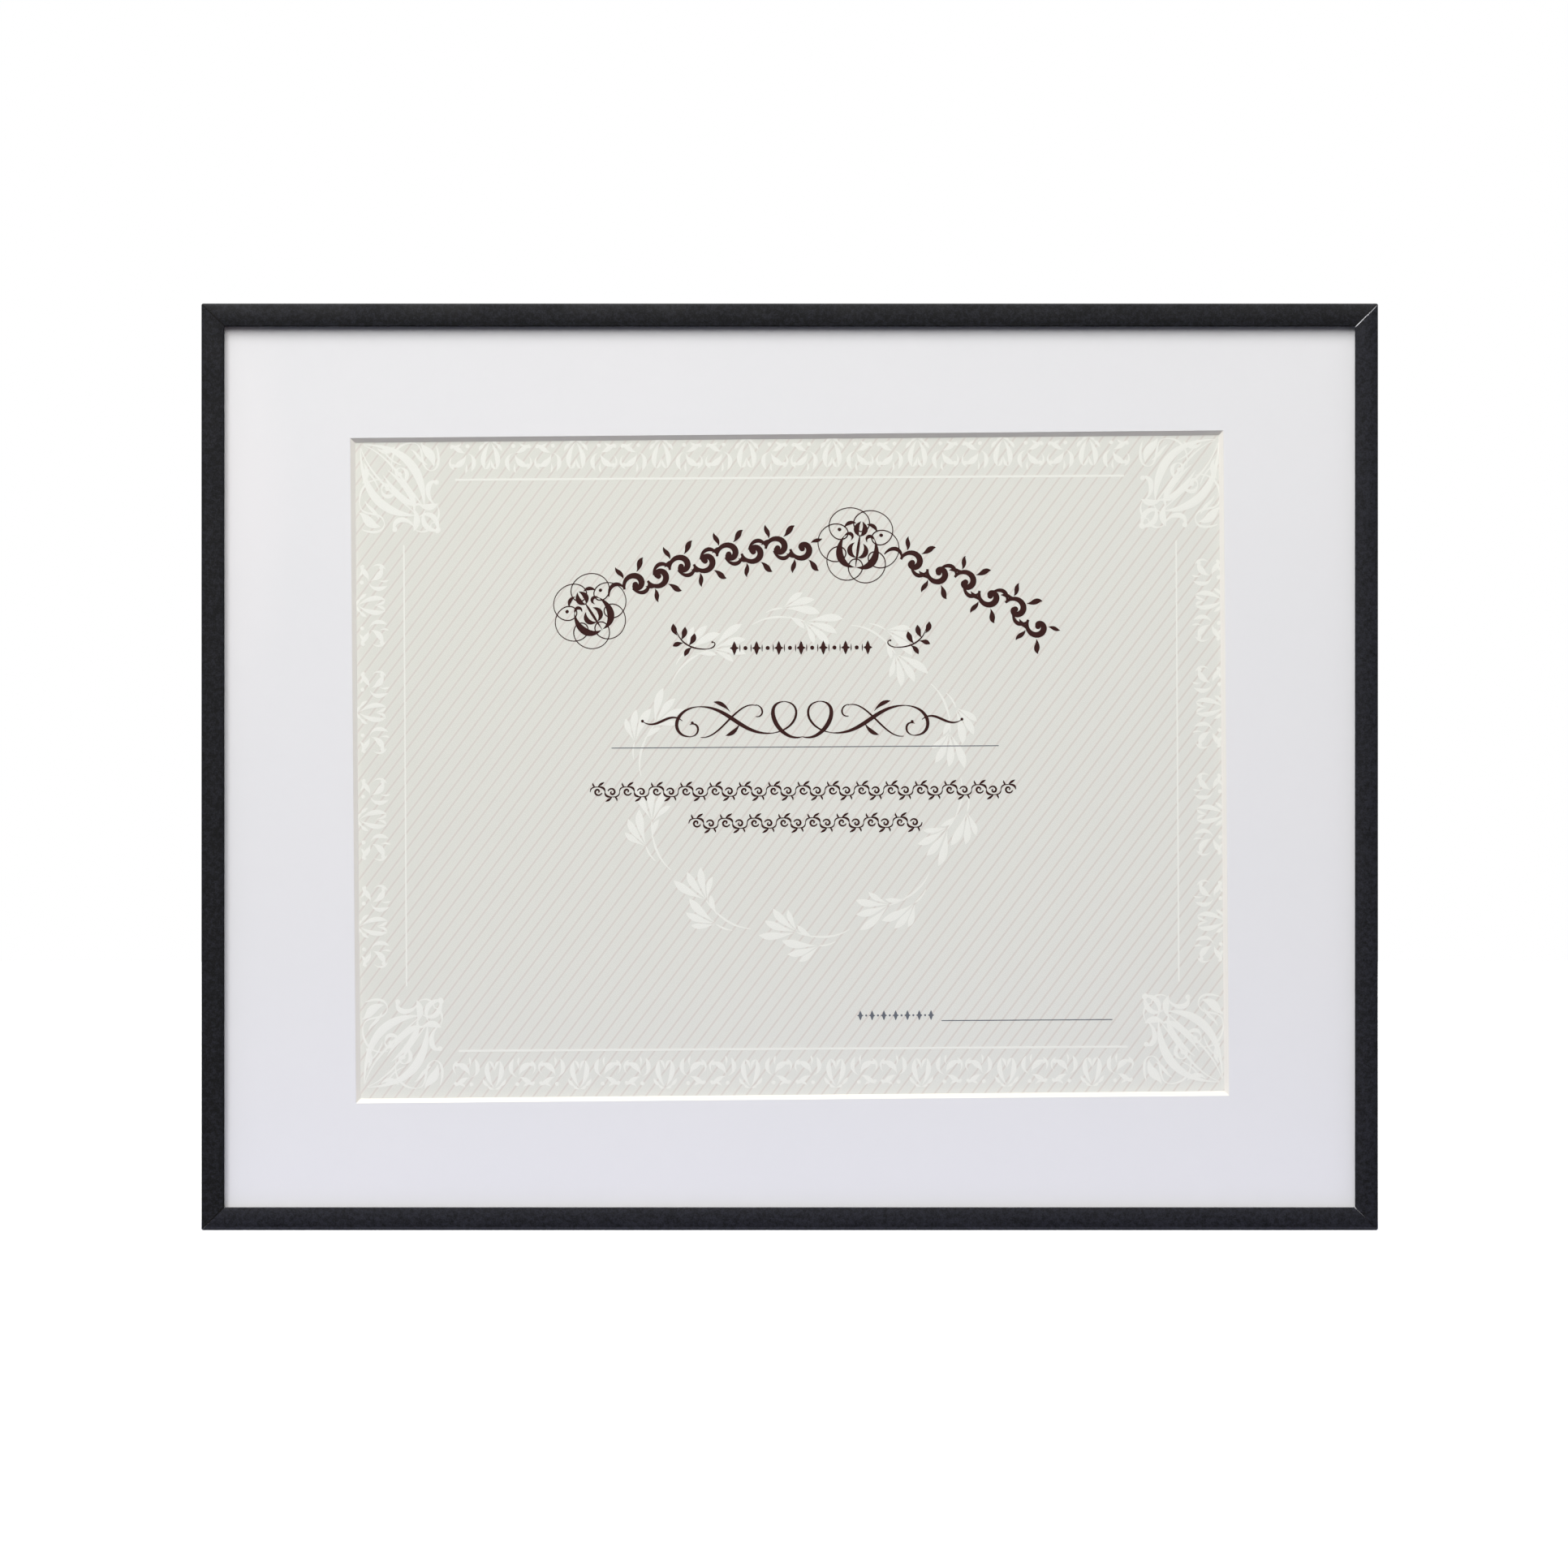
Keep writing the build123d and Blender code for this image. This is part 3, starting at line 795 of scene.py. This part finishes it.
petals = pen(
    [
        [0.2 + 8.9j, 1.7 + 6.8j, 3.0 + 3.6j, 1.7 + 0.8j],
        [0.1 + 3.9j, 0.3 + 2.6j, 0.6 + 1.2j, 1.6 + 0.9j],
        [1.5 + 8.6j, 2.2 + 8.4j, 3.0 + 7.6j, 3.5 + 6.4j],
        [0.1 + 9.4j, 0.9 + 9.4j, 1.4 + 9.1j, 1.9 + 8.6j],
    ],
    [0.78, 0.42, 0.5, 0.4],
    belly=0.6,
)
palmette = mirrored(petals)
spray = also(
    pen(
        [
            [-0.3 + 5.7j, -2.5 + 4.8j, -2.6 + 2.4j, -1.3 + 0.2j],
            [0.3 + 5.2j, 0.8 + 3.6j, 1.8 + 2.2j, 4.2 + 1.6j],
            [0.5 + 5.9j, 1.8 + 5.9j, 2.6 + 7.0j, 4.9 + 8.4j],
            [4.4 + 4.8j, 5.7 + 3.6j, 5.4 + 1.6j, 3.8 + 0.7j],
            [0.4 + 2.6j, 0.0 + 1.6j, 0.0 + 0.6j, 0.5 - 0.3j],
            [1.7 + 8.9j, 1.9 + 8.2j, 2.6 + 7.9j, 3.3 + 8.0j],
        ],
        [0.66, 0.92, 0.74, 0.36, 0.32, 0.36],
        belly=0.62,
    ),
    dots([-0.2 + 7.9j, 4.2 + 1.9j, 4.7 + 7.6j], [[0.6], [0.62], [0.5]]),
)
motif = also(palmette, mirrored(stamped(spray, [SPRAY_OFF])))

level_run = (np.arange(8) - 3.5) * LEVEL_PITCH
side_run = (np.arange(4) - 1.5) * SIDE_PITCH
top_band = stamped(motif, level_run + BAND_FOOT * 1j)
bottom_band = stamped(motif, level_run - BAND_FOOT * 1j, -1)
right_band = stamped(motif, SIDE_FOOT + side_run * 1j, -1j)
left_band = stamped(motif, -SIDE_FOOT + side_run * 1j, 1j)
ink("border_band_print", [top_band, bottom_band, right_band, left_band], white_ink)

# %% Inner rules
RULE_RISE = 87.25
RULE_OUT = 118.0
RULE_HALF = (102.2, 67.4)
RULE_WIDTHS = (0.66, 0.46)

both_ends = np.array([-1, 1])
both_sides = np.array([[1], [-1]])
level_rules = RULE_HALF[0] * both_ends + RULE_RISE * 1j * both_sides
upright_rules = RULE_HALF[1] * 1j * both_ends + RULE_OUT * both_sides
ink(
    "inner_rule_print",
    [trace(level_rules, RULE_WIDTHS[0] / 2), trace(upright_rules, RULE_WIDTHS[1] / 2)],
    white_ink,
)

# %% [markdown]
# The corner scroll is symmetric about the diagonal, so half of it is drawn, with its point in the upper
# left corner, and mirrored across the line at 45 degrees. The other corners are mirror images of that one.

# %% Corner scrolls
CORNER_POINT = -132.1 + 99.3j
CORNER_HEIGHTEN = 1.12

half_scroll = also(
    pen(
        [
            [2.0 - 1.0j, 15.0 - 1.2j, 20.2 - 8.6j, 20.4 - 17.6j],
            [18.4 - 17.0j, 20.6 - 18.6j, 22.6 - 18.4j, 24.6 - 17.2j],
            [24.2 - 17.8j, 20.4 - 15.8j, 21.0 - 10.4j, 24.4 - 11.2j],
            [10.8 - 8.2j, 9.6 - 3.4j, 13.2 - 0.2j, 17.4 - 0.7j],
            [17.2 - 0.7j, 21.4 - 1.0j, 18.4 - 7.4j, 22.4 - 8.2j],
            [22.2 - 8.2j, 25.2 - 8.4j, 25.4 - 4.6j, 24.2 - 1.4j],
            [19.6 - 0.5j, 20.2 - 2.8j, 23.2 - 3.0j, 23.4 - 7.0j],
            [16.4 - 2.4j, 18.2 - 3.0j, 18.8 - 5.4j, 21.4 - 6.6j],
            [9.4 - 8.0j, 13.8 - 11.4j, 17.8 - 14.4j, 17.4 - 19.2j],
            [13.2 - 12.6j, 15.4 - 11.0j, 16.2 - 8.0j, 13.4 - 7.4j],
            [13.6 - 7.4j, 11.4 - 7.2j, 11.6 - 9.8j, 13.2 - 9.4j],
            [1.2 - 2.0j, 3.6 - 9.2j, 10.0 - 13.4j, 18.6 - 20.6j],
            [18.8 - 20.8j, 21.6 - 19.0j, 24.8 - 20.6j, 24.6 - 25.0j],
            [24.4 - 17.8j, 25.4 - 19.8j, 25.0 - 22.2j, 22.4 - 22.6j],
            [2.0 - 6.2j, 3.4 - 7.6j, 3.2 - 9.8j, 1.6 - 11.6j],
            [7.4 - 1.0j, 8.2 - 3.6j, 10.4 - 5.6j, 13.4 - 6.6j],
        ],
        [1.3, 1.0, 0.8, 0.34, 0.34, 0.4, 1.35, 0.5, 1.0, 0.62, 0.5, 0.36, 0.8, 0.32, 0.72, 0.26],
        belly=0.58,
        thin=0.1,
        steps=20,
    ),
    dots([24.2 - 11.4j, 13.0 - 9.2j, 24.4 - 24.6j], [[0.75], [0.7], [0.8]], steps=20),
)
scroll, scroll_half = mirrored(half_scroll, np.exp(-0.25j * math.pi))
upper_left = CORNER_POINT + scroll.real + 1j * CORNER_HEIGHTEN * scroll.imag
corners = (upper_left, -upper_left.conj(), upper_left.conj(), -upper_left)
ink("corner_scroll_print", [(path, scroll_half) for path in corners], white_ink)

# %% [markdown]
# ### Wreath
# Ten sprigs follow each other clockwise on a circle. A sprig is a bent stem with two sprays of slender
# leaves, one towards the outside and one ahead. Each spray opens like a fan, and its leaves are widest
# beyond their middle, so that a thin gap stays between them.

# %% Wreath
WREATH_MIDDLE = 2.9 - 4.2j
WREATH_RADIUS = 49.2
WREATH_SPRIGS = 10
WREATH_START = 88.7
SPRIG_SIZE = 1.04


def fan(root, angles, lengths, widest):
    """Slender leaves from one root: each is a slightly bent stroke at its own angle and length."""
    turns = np.exp(1j * np.radians(angles)) * np.array(lengths)
    leaf = np.array([0.08, 0.40 + 0.05j, 0.74 + 0.08j, 1.0])
    return pen(root + turns[:, None] * leaf, widest, belly=0.64, thin=0.05)


sprig = also(
    pen([[-15.0 - 2.8j, -11.0 - 0.2j, -7.0 - 0.2j, -3.6 - 0.6j]], [0.34], belly=0.6, thin=0.12),
    pen([[-11.0 + 0.8j, -9.4 + 1.8j, -8.0 + 2.1j, -6.2 + 2.2j]], [0.28], belly=0.6, thin=0.12),
    pen([[-3.8 - 0.6j, -2.6 - 0.8j, -1.0 - 1.1j, 0.4 - 1.6j]], [0.26], thin=0.12),
    fan(-6.2 + 2.2j, [-7, 16, 39], [11.0, 9.6, 7.4], [1.2, 1.05, 0.85]),
    fan(0.2 - 1.6j, [5, -19, -43, -66], [11.4, 10.2, 10.0, 7.2], [1.15, 1.08, 1.08, 0.8]),
    fan(-5.0 + 0.3j, [-37], [6.6], [0.72]),
)
around = math.radians(WREATH_START) - np.arange(WREATH_SPRIGS) * 2 * math.pi / WREATH_SPRIGS
outward = np.exp(1j * around)
wreath = stamped(sprig, WREATH_MIDDLE + WREATH_RADIUS * outward, -1j * SPRIG_SIZE * outward)
ink("wreath_print", [wreath], white_ink)

# %% [markdown]
# ### The arched ornament
# The ornament at the head of the sheet sits on an arc: a running scroll, heavy and light like the strokes
# of a broad pen, with two rosettes of interlaced rings. We draw it along a straight line, and then bend
# it: s millimetres along the line becomes an angle s / radius, and the height stays a height.

# %% Arched scroll
ARCH_MIDDLE = 3.2 - 54.8j
ARCH_RADIUS = 117.0
SCROLL_PITCH = 13.4
SCROLL_MIDDLE = 3.6j
SCROLL_SPANS = ((-50.5, 0.5), (33.5, 75.5))
VOLUTE_THIN = 0.12


def arched(group):
    """The group bent over the arch: s + h·i becomes middle + (radius + h) at s / radius from upright."""
    path, half = group
    s, h = path.real, path.imag
    return ARCH_MIDDLE + (ARCH_RADIUS + h) * np.exp(1j * (math.pi / 2 - s / ARCH_RADIUS)), half


def volute(start, inner, outer, begin, turns, widest, steps=28):
    """A spiral stroke round start: its radius shrinks evenly from outer to inner over the turns."""
    t = np.linspace(0, 1, steps)
    angle = begin + turns * 2 * math.pi * t
    path = start + (outer + (inner - outer) * t) * np.exp(1j * angle)
    swell = np.sin(math.pi * (0.12 + 0.86 * t)) ** 1.2
    return trace(path, VOLUTE_THIN + (widest - VOLUTE_THIN) * swell)


wave_half = also(
    volute(0.3j, 0.5, 3.5, 1.0 * math.pi, -1.05, 0.95),
    pen([[-3.3 + 0.6j, -4.0 + 3.6j, -7.0 + 4.0j, -8.6 + 0.6j]], [0.62], belly=0.5, thin=0.16, steps=28),
    pen([[1.9 + 3.6j, 3.6 + 4.6j, 3.6 + 6.4j, 5.2 + 6.8j]], [0.85], belly=0.55, steps=28),
    pen([[-2.4 + 3.4j, -2.0 + 5.2j, -3.4 + 6.0j, -3.0 + 7.6j]], [0.7], belly=0.5, steps=28),
    pen([[2.6 - 1.6j, 3.8 - 2.6j, 4.8 - 2.2j, 5.8 - 3.0j]], [0.6], belly=0.5, steps=28),
    dots([0.2j], 0.85, steps=28),
)


def running_scroll(first, last):
    """Volutes from s = first to s = last, every second one upside down."""
    count = max(2, round((last - first) / SCROLL_PITCH * 2))
    spots = np.linspace(first, last, count)
    up, down = spots[0::2], spots[1::2]
    upside_down = (wave_half[0].conj(), wave_half[1])
    return also(stamped(wave_half, up + SCROLL_MIDDLE), stamped(upside_down, down + SCROLL_MIDDLE))


ink("heading_scroll_print", [arched(running_scroll(*span)) for span in SCROLL_SPANS], maroon_ink)

# %% [markdown]
# A rosette's hairline is one closed curve, an epitrochoid: a point on a small circle that rolls round a
# large one. It is the sum of two turning arrows, one long and slow, one short and fast, and loops
# where they turn against each other. Bold leaves fill its middle.

# %% Rosettes
ROSETTES = ((-66.0 + 3.2j, 1.02), (17.0 + 5.6j, 1.06))
LONG_ARM, SHORT_ARM = 7.6, 3.6
ROSETTE_LOOPS = 6
HAIRLINE, HAIRLINE_SWELL = 0.13, 0.05

turn = np.linspace(0, 2 * math.pi, 241)
loops = LONG_ARM * np.exp(1j * turn) + SHORT_ARM * np.exp(1j * (ROSETTE_LOOPS + 1) * turn)
hairlines = trace(loops, HAIRLINE + HAIRLINE_SWELL * np.sin(3 * turn) ** 2)
bold = mirrored(
    also(
        pen(
            [
                [0.3 - 6.4j, 4.6 - 6.6j, 6.4 - 2.4j, 4.2 + 2.2j],
                [4.2 + 2.0j, 3.2 + 4.0j, 1.2 + 2.8j, 2.2 + 1.2j],
                [0.1 - 3.6j, 2.6 - 3.2j, 2.9 - 0.8j, 1.2 + 0.6j],
                [0.2 + 6.9j, 1.5 + 5.2j, 1.4 + 3.8j, 0.1 + 2.6j],
                [1.4 + 6.2j, 2.6 + 6.6j, 3.8 + 6.0j, 4.4 + 4.6j],
            ],
            [1.05, 0.5, 0.75, 0.8, 0.55],
            belly=0.5,
            steps=28,
        ),
        dots([5.6 + 3.9j], 0.5, steps=28),
    )
)
core_line = pen([[-6.6j, -2.0j, 1.0j, 3.2j]], [0.4], steps=28)
rosette = (hairlines, bold, core_line)
rosettes = [arched(stamped(part, [place], [size])) for place, size in ROSETTES for part in rosette]
ink("rosette_print", rosettes, maroon_ink)

# %% [markdown]
# ### Smaller ornaments
# Under the arch two leafy sprigs flank a row of lozenges, pearls and bars. We draw one of each and stamp
# them along a line, as a printer sets rows of small type ornaments.

# %% Sprigs and lozenges
SPRIG_PLACES = (-29.6 + 37.1j, 36.2 + 37.3j)
LOZENGE_ROW = 3.2 + 35.3j
LOZENGE_HALF_ROW = 20.4
BAR_SIZE = 0.62

leafy = also(
    pen([[-5.4 + 4.2j, -4.6 + 0.4j, -1.2 - 2.4j, 4.4 - 2.0j]], [0.24], belly=0.6, thin=0.1),
    pen([[4.2 - 2.0j, 6.4 - 1.8j, 7.2 - 0.2j, 5.8 + 0.2j]], [0.2], belly=0.4, thin=0.1),
    pen(
        [
            [-5.0 + 2.2j, -5.8 + 3.0j, -6.2 + 4.2j, -6.2 + 5.8j],
            [-4.0 + 0.8j, -2.9 + 1.8j, -2.7 + 3.2j, -2.6 + 4.8j],
            [-1.6 - 1.0j, -0.4 + 0.1j, 0.1 + 1.2j, 0.3 + 2.8j],
            [-3.2 - 0.1j, -4.2 - 0.2j, -5.4 - 0.4j, -6.4 - 1.1j],
            [-0.6 - 1.5j, -1.4 - 1.9j, -2.4 - 2.8j, -2.8 - 4.2j],
        ],
        [0.86, 0.84, 0.86, 0.72, 0.72],
        belly=0.62,
    ),
    dots([5.7 + 0.1j], 0.3),
)
lozenge = also(
    pen([[-2.1j, -0.7j, 0.7j, 2.1j]], [0.72]),
    pen([[-1.35, -0.45, 0.45, 1.35]], [0.6]),
)
pearl = dots([0.0], 0.62)
bar = pen([[-1.9j, -0.6j, 0.6j, 1.9j]], [0.26])
pitch = LOZENGE_HALF_ROW / 6
row = also(
    stamped(lozenge, np.arange(-6, 7, 2) * pitch),
    stamped(pearl, np.arange(-5, 6, 2) * pitch),
    stamped(bar, np.arange(-5.5, 6, 1) * pitch, BAR_SIZE),
)
sprigs = [stamped(leafy, [SPRIG_PLACES[0]]), stamped((-leafy[0].conj(), leafy[1]), [SPRIG_PLACES[1]])]
ink("sprig_print", sprigs + [stamped(row, [LOZENGE_ROW])], maroon_ink)

# %% [markdown]
# A pen flourish stands over the long rule: the loops that a hand makes without lifting the pen. Its left
# half is the mirror image of its right half.

# %% Pen flourish
FLOURISH_MIDDLE = 3.4 + 12.2j
FLOURISH_HEIGHTEN = 1.2

half_flourish = also(
    pen(
        [
            [0.0 - 3.4j, 7.0 - 5.2j, 13.0 + 5.4j, 5.4 + 5.6j],
            [5.6 + 5.6j, -0.6 + 5.4j, 1.0 - 1.6j, 9.0 - 2.4j],
            [8.6 - 2.4j, 19.0 - 3.4j, 22.0 + 4.8j, 32.0 + 4.4j],
            [31.6 + 4.4j, 40.0 + 4.0j, 40.4 - 3.6j, 33.8 - 3.2j],
            [34.0 - 3.2j, 30.6 - 2.8j, 31.6 + 1.0j, 34.4 - 0.2j],
            [14.0 + 4.6j, 20.0 + 6.2j, 25.0 - 4.2j, 31.0 - 3.4j],
            [36.6 + 0.8j, 41.0 + 3.8j, 44.0 - 1.8j, 48.6 + 0.6j],
            [14.2 + 4.8j, 11.4 + 4.4j, 11.6 + 1.4j, 14.2 + 1.8j],
        ],
        [0.66, 0.36, 0.62, 0.52, 0.32, 0.28, 0.38, 0.26],
        thin=0.1,
        steps=28,
    ),
    pen(
        [
            [19.0 + 0.2j, 20.0 - 1.6j, 21.4 - 2.6j, 23.4 - 3.0j],
            [22.0 + 3.0j, 23.4 + 4.6j, 25.0 + 5.4j, 27.0 + 5.6j],
        ],
        [0.62, 0.62],
        belly=0.6,
        steps=28,
    ),
    dots([33.6 + 0.3j, 48.8 + 0.8j], 0.45, steps=28),
)
curls, curls_half = mirrored(half_flourish)
flourish = FLOURISH_MIDDLE + curls.real + 1j * FLOURISH_HEIGHTEN * curls.imag
ink("flourish_print", [(flourish, curls_half)], maroon_ink)

# %% [markdown]
# Two running vines, a long and a short one, fill the rows below the flourish. The number of bends follows
# from the row's length, and each bend is stretched a little so that they fit exactly.

# %% Running vines
VINE_ROWS = ((3.5 - 8.4j, 65.0), (4.2 - 18.2j, 35.6))
VINE_PITCH = 4.55
VINE_RISE = 0.95


def vine(middle, half_length):
    """A stem that waves from one side of the row to the other, with a volute inside each bend and a leaf
    outside it. One bend is drawn, and every second one is turned half round."""
    count = round(2 * half_length / VINE_PITCH)
    reach = half_length / count
    rise = VINE_RISE * 1j
    spots = reach * (2 * np.arange(count) + 1) - half_length
    bend = also(
        pen(
            [
                [-reach, -reach + 1.1 * rise, -0.7 * reach + 1.7 * rise, 1.6 * rise],
                [1.6 * rise, 0.7 * reach + 1.7 * rise, reach + 1.1 * rise, reach],
                [0.1 + 1.6 * rise, 0.9 + 2.6 * rise, 1.3 + 2.6 * rise, 2.0 + 3.1 * rise],
                [-0.9 + 1.5 * rise, -1.1 + 2.0 * rise, -1.5 + 2.2 * rise, -1.4 + 2.9 * rise],
            ],
            [0.2, 0.34, 0.34, 0.26],
            belly=0.5,
            thin=0.1,
            steps=16,
        ),
        volute(0.1 + 0.1j, 0.15, 1.3, -0.1 * math.pi, -1.15, 0.3, steps=16),
    )
    return [stamped(bend, middle + spots[0::2]), stamped(bend, middle + spots[1::2], -1)]


vines = [group for middle, half_length in VINE_ROWS for group in vine(middle, half_length)]
ink("vine_print", vines, maroon_ink)

# %% [markdown]
# Two thin grey rules close the print: a long one under the flourish and a short one at the lower right,
# beside a small row of lozenges and pearls.

# %% Grey rules
LONG_RULE = np.array([-54.9, 63.4]) + 5.0j
SHORT_RULE = np.array([45.4, 97.6]) - 78.9j
SMALL_ROW = 31.4 - 77.2j
SMALL_PITCH = 3.6
SMALL_LOZENGE, SMALL_PEARL = 0.7, 0.5

small_row = also(
    stamped(lozenge, np.arange(-3, 4) * SMALL_PITCH, SMALL_LOZENGE),
    stamped(pearl, (np.arange(-3, 3) + 0.5) * SMALL_PITCH, SMALL_PEARL),
)
rules = trace(np.stack([LONG_RULE, SHORT_RULE]), HAIRLINE)
ink("grey_rule_print", [rules, stamped(small_row, [SMALL_ROW])], grey_ink)

# %% [markdown]
# ## Hardboard back
# Hardboard is wet-pressed wood fibre. Its smooth side is a warm brown with darker shives, short slivers
# that lie every way, and a faint cloudiness from the press. Two stretched noises, one along X and one
# along Z, give slivers in two directions without drawing any of them.

# %% Hardboard
SHIVE, PRESS_CLOUD, SPECK = 0.7, 22.0, 0.4
SHIVE_RELIEF = 0.05

fibreboard = material("hardboard")
along = fibreboard.grain(SHIVE, stretch=(0.2, 1, 1), detail=4.0, rough=0.6)
upright = fibreboard.grain(SHIVE, stretch=(1, 1, 0.2), detail=4.0, rough=0.6)
cloud = fibreboard.grain(PRESS_CLOUD, detail=3.0)
specks = fibreboard.grain(SPECK, detail=5.0).step(0.35, 0.65)
shives = along.step(0.57, 0.68).most(upright.step(0.58, 0.69))
brown = fibreboard.tint(cloud.step(0.3, 0.7), paint(118, 84, 57), paint(127, 91, 62))
brown = fibreboard.tint(specks * 0.4, brown, paint(152, 116, 84))
brown = fibreboard.tint(shives * 0.5, brown, paint(84, 57, 38))
dress(
    fibreboard.done(
        fibreboard.principled(
            Base_Color=brown,
            Roughness=0.72,
            Specular_IOR_Level=0.35,
            Normal=fibreboard.bump(along * 0.5 + upright * 0.5, SHIVE_RELIEF),
        )
    ),
    "backing_board",
)

# %% [markdown]
# ## Metal hardware
# Five finishes, one function. Zinc plate is dull and slightly cloudy, the clips are rolled strip with fine
# lines along their length, and the nickel hangers are bright with tumbling marks. They differ in colour,
# roughness and the direction of their lines, so those are the function's arguments.

# %% Metals
METAL_CLOUD = 4.0


def metal(name, dark, light, rough, lines, relief, stretch=(1, 1, 1)):
    """Bare or plated metal: colour and roughness follow cloudy patches, and fine stretched noise, lines mm
    wide, makes the streaks that rolling, tumbling or turning left."""
    plate = material(name)
    streaks = plate.grain(lines, stretch=stretch, detail=3.0, rough=0.6)
    patches = plate.grain(METAL_CLOUD, detail=3.0)
    return plate.done(
        plate.principled(
            Base_Color=plate.tint(patches * 0.6 + streaks * 0.4, dark, light),
            Metallic=1.0,
            Roughness=rough + patches * 0.12 + streaks * 0.06 - 0.09,
            Normal=plate.bump(streaks, relief),
        )
    )


SIDES = ("left", "right")
CORNER_NAMES = [f"{level}_{side}" for level in ("top", "bottom") for side in SIDES]

zinc = metal("zinc_plate", paint(150, 156, 164), paint(202, 206, 210), rough=0.36, lines=0.5, relief=0.006)
for piece in ("corner_key", "backup_plate"):
    dress(zinc, *[f"{piece}_{corner}" for corner in CORNER_NAMES])

steel = metal("screw_steel", paint(120, 122, 128), paint(178, 180, 186), rough=0.3, lines=0.08, relief=0.003)
dress(steel, *[f"corner_screws_{corner}" for corner in CORNER_NAMES])
dress(steel, *[f"hanger_{piece}_{side}" for piece in ("pin", "screw") for side in SIDES])

strip = {"dark": paint(122, 126, 134), "light": paint(180, 184, 192), "rough": 0.42, "lines": 0.12}
rolled_level = metal("spring_strip", **strip, relief=0.001, stretch=(0.06, 1, 1))
rolled_upright = metal("spring_strip_upright", **strip, relief=0.001, stretch=(1, 1, 0.06))
dress(rolled_level, *[f"spring_clip_{corner}" for corner in CORNER_NAMES])
dress(rolled_upright, *[f"spring_clip_{side}_{end}" for side in SIDES for end in ("upper", "lower")])

nickel = metal(
    "hanger_nickel", paint(150, 147, 140), paint(204, 200, 192), rough=0.3, lines=0.25, relief=0.004
)
dress(nickel, *[f"hanger_{piece}_{side}" for piece in ("base", "eye") for side in SIDES])

# %% [markdown]
# Rubber is a dull dark grey, never quite black, because dust lies on it in patches. The patches are paler,
# and rougher too.

# %% Rubber bumpers
RUBBER_SKIN, DUST_PATCH = 0.3, 1.5
SKIN_RELIEF = 0.02

rubber = material("bumper_rubber")
skin = rubber.grain(RUBBER_SKIN, detail=2.0)
dust = rubber.grain(DUST_PATCH, detail=4.0).step(0.5, 0.8)
dress(
    rubber.done(
        rubber.principled(
            Base_Color=rubber.tint(dust * 0.5, paint(30, 30, 31), paint(66, 65, 64)),
            Roughness=0.62 + dust * 0.2,
            Specular_IOR_Level=0.4,
            Normal=rubber.bump(skin, SKIN_RELIEF),
        )
    ),
    *[f"wall_bumper_{corner}" for corner in CORNER_NAMES],
)
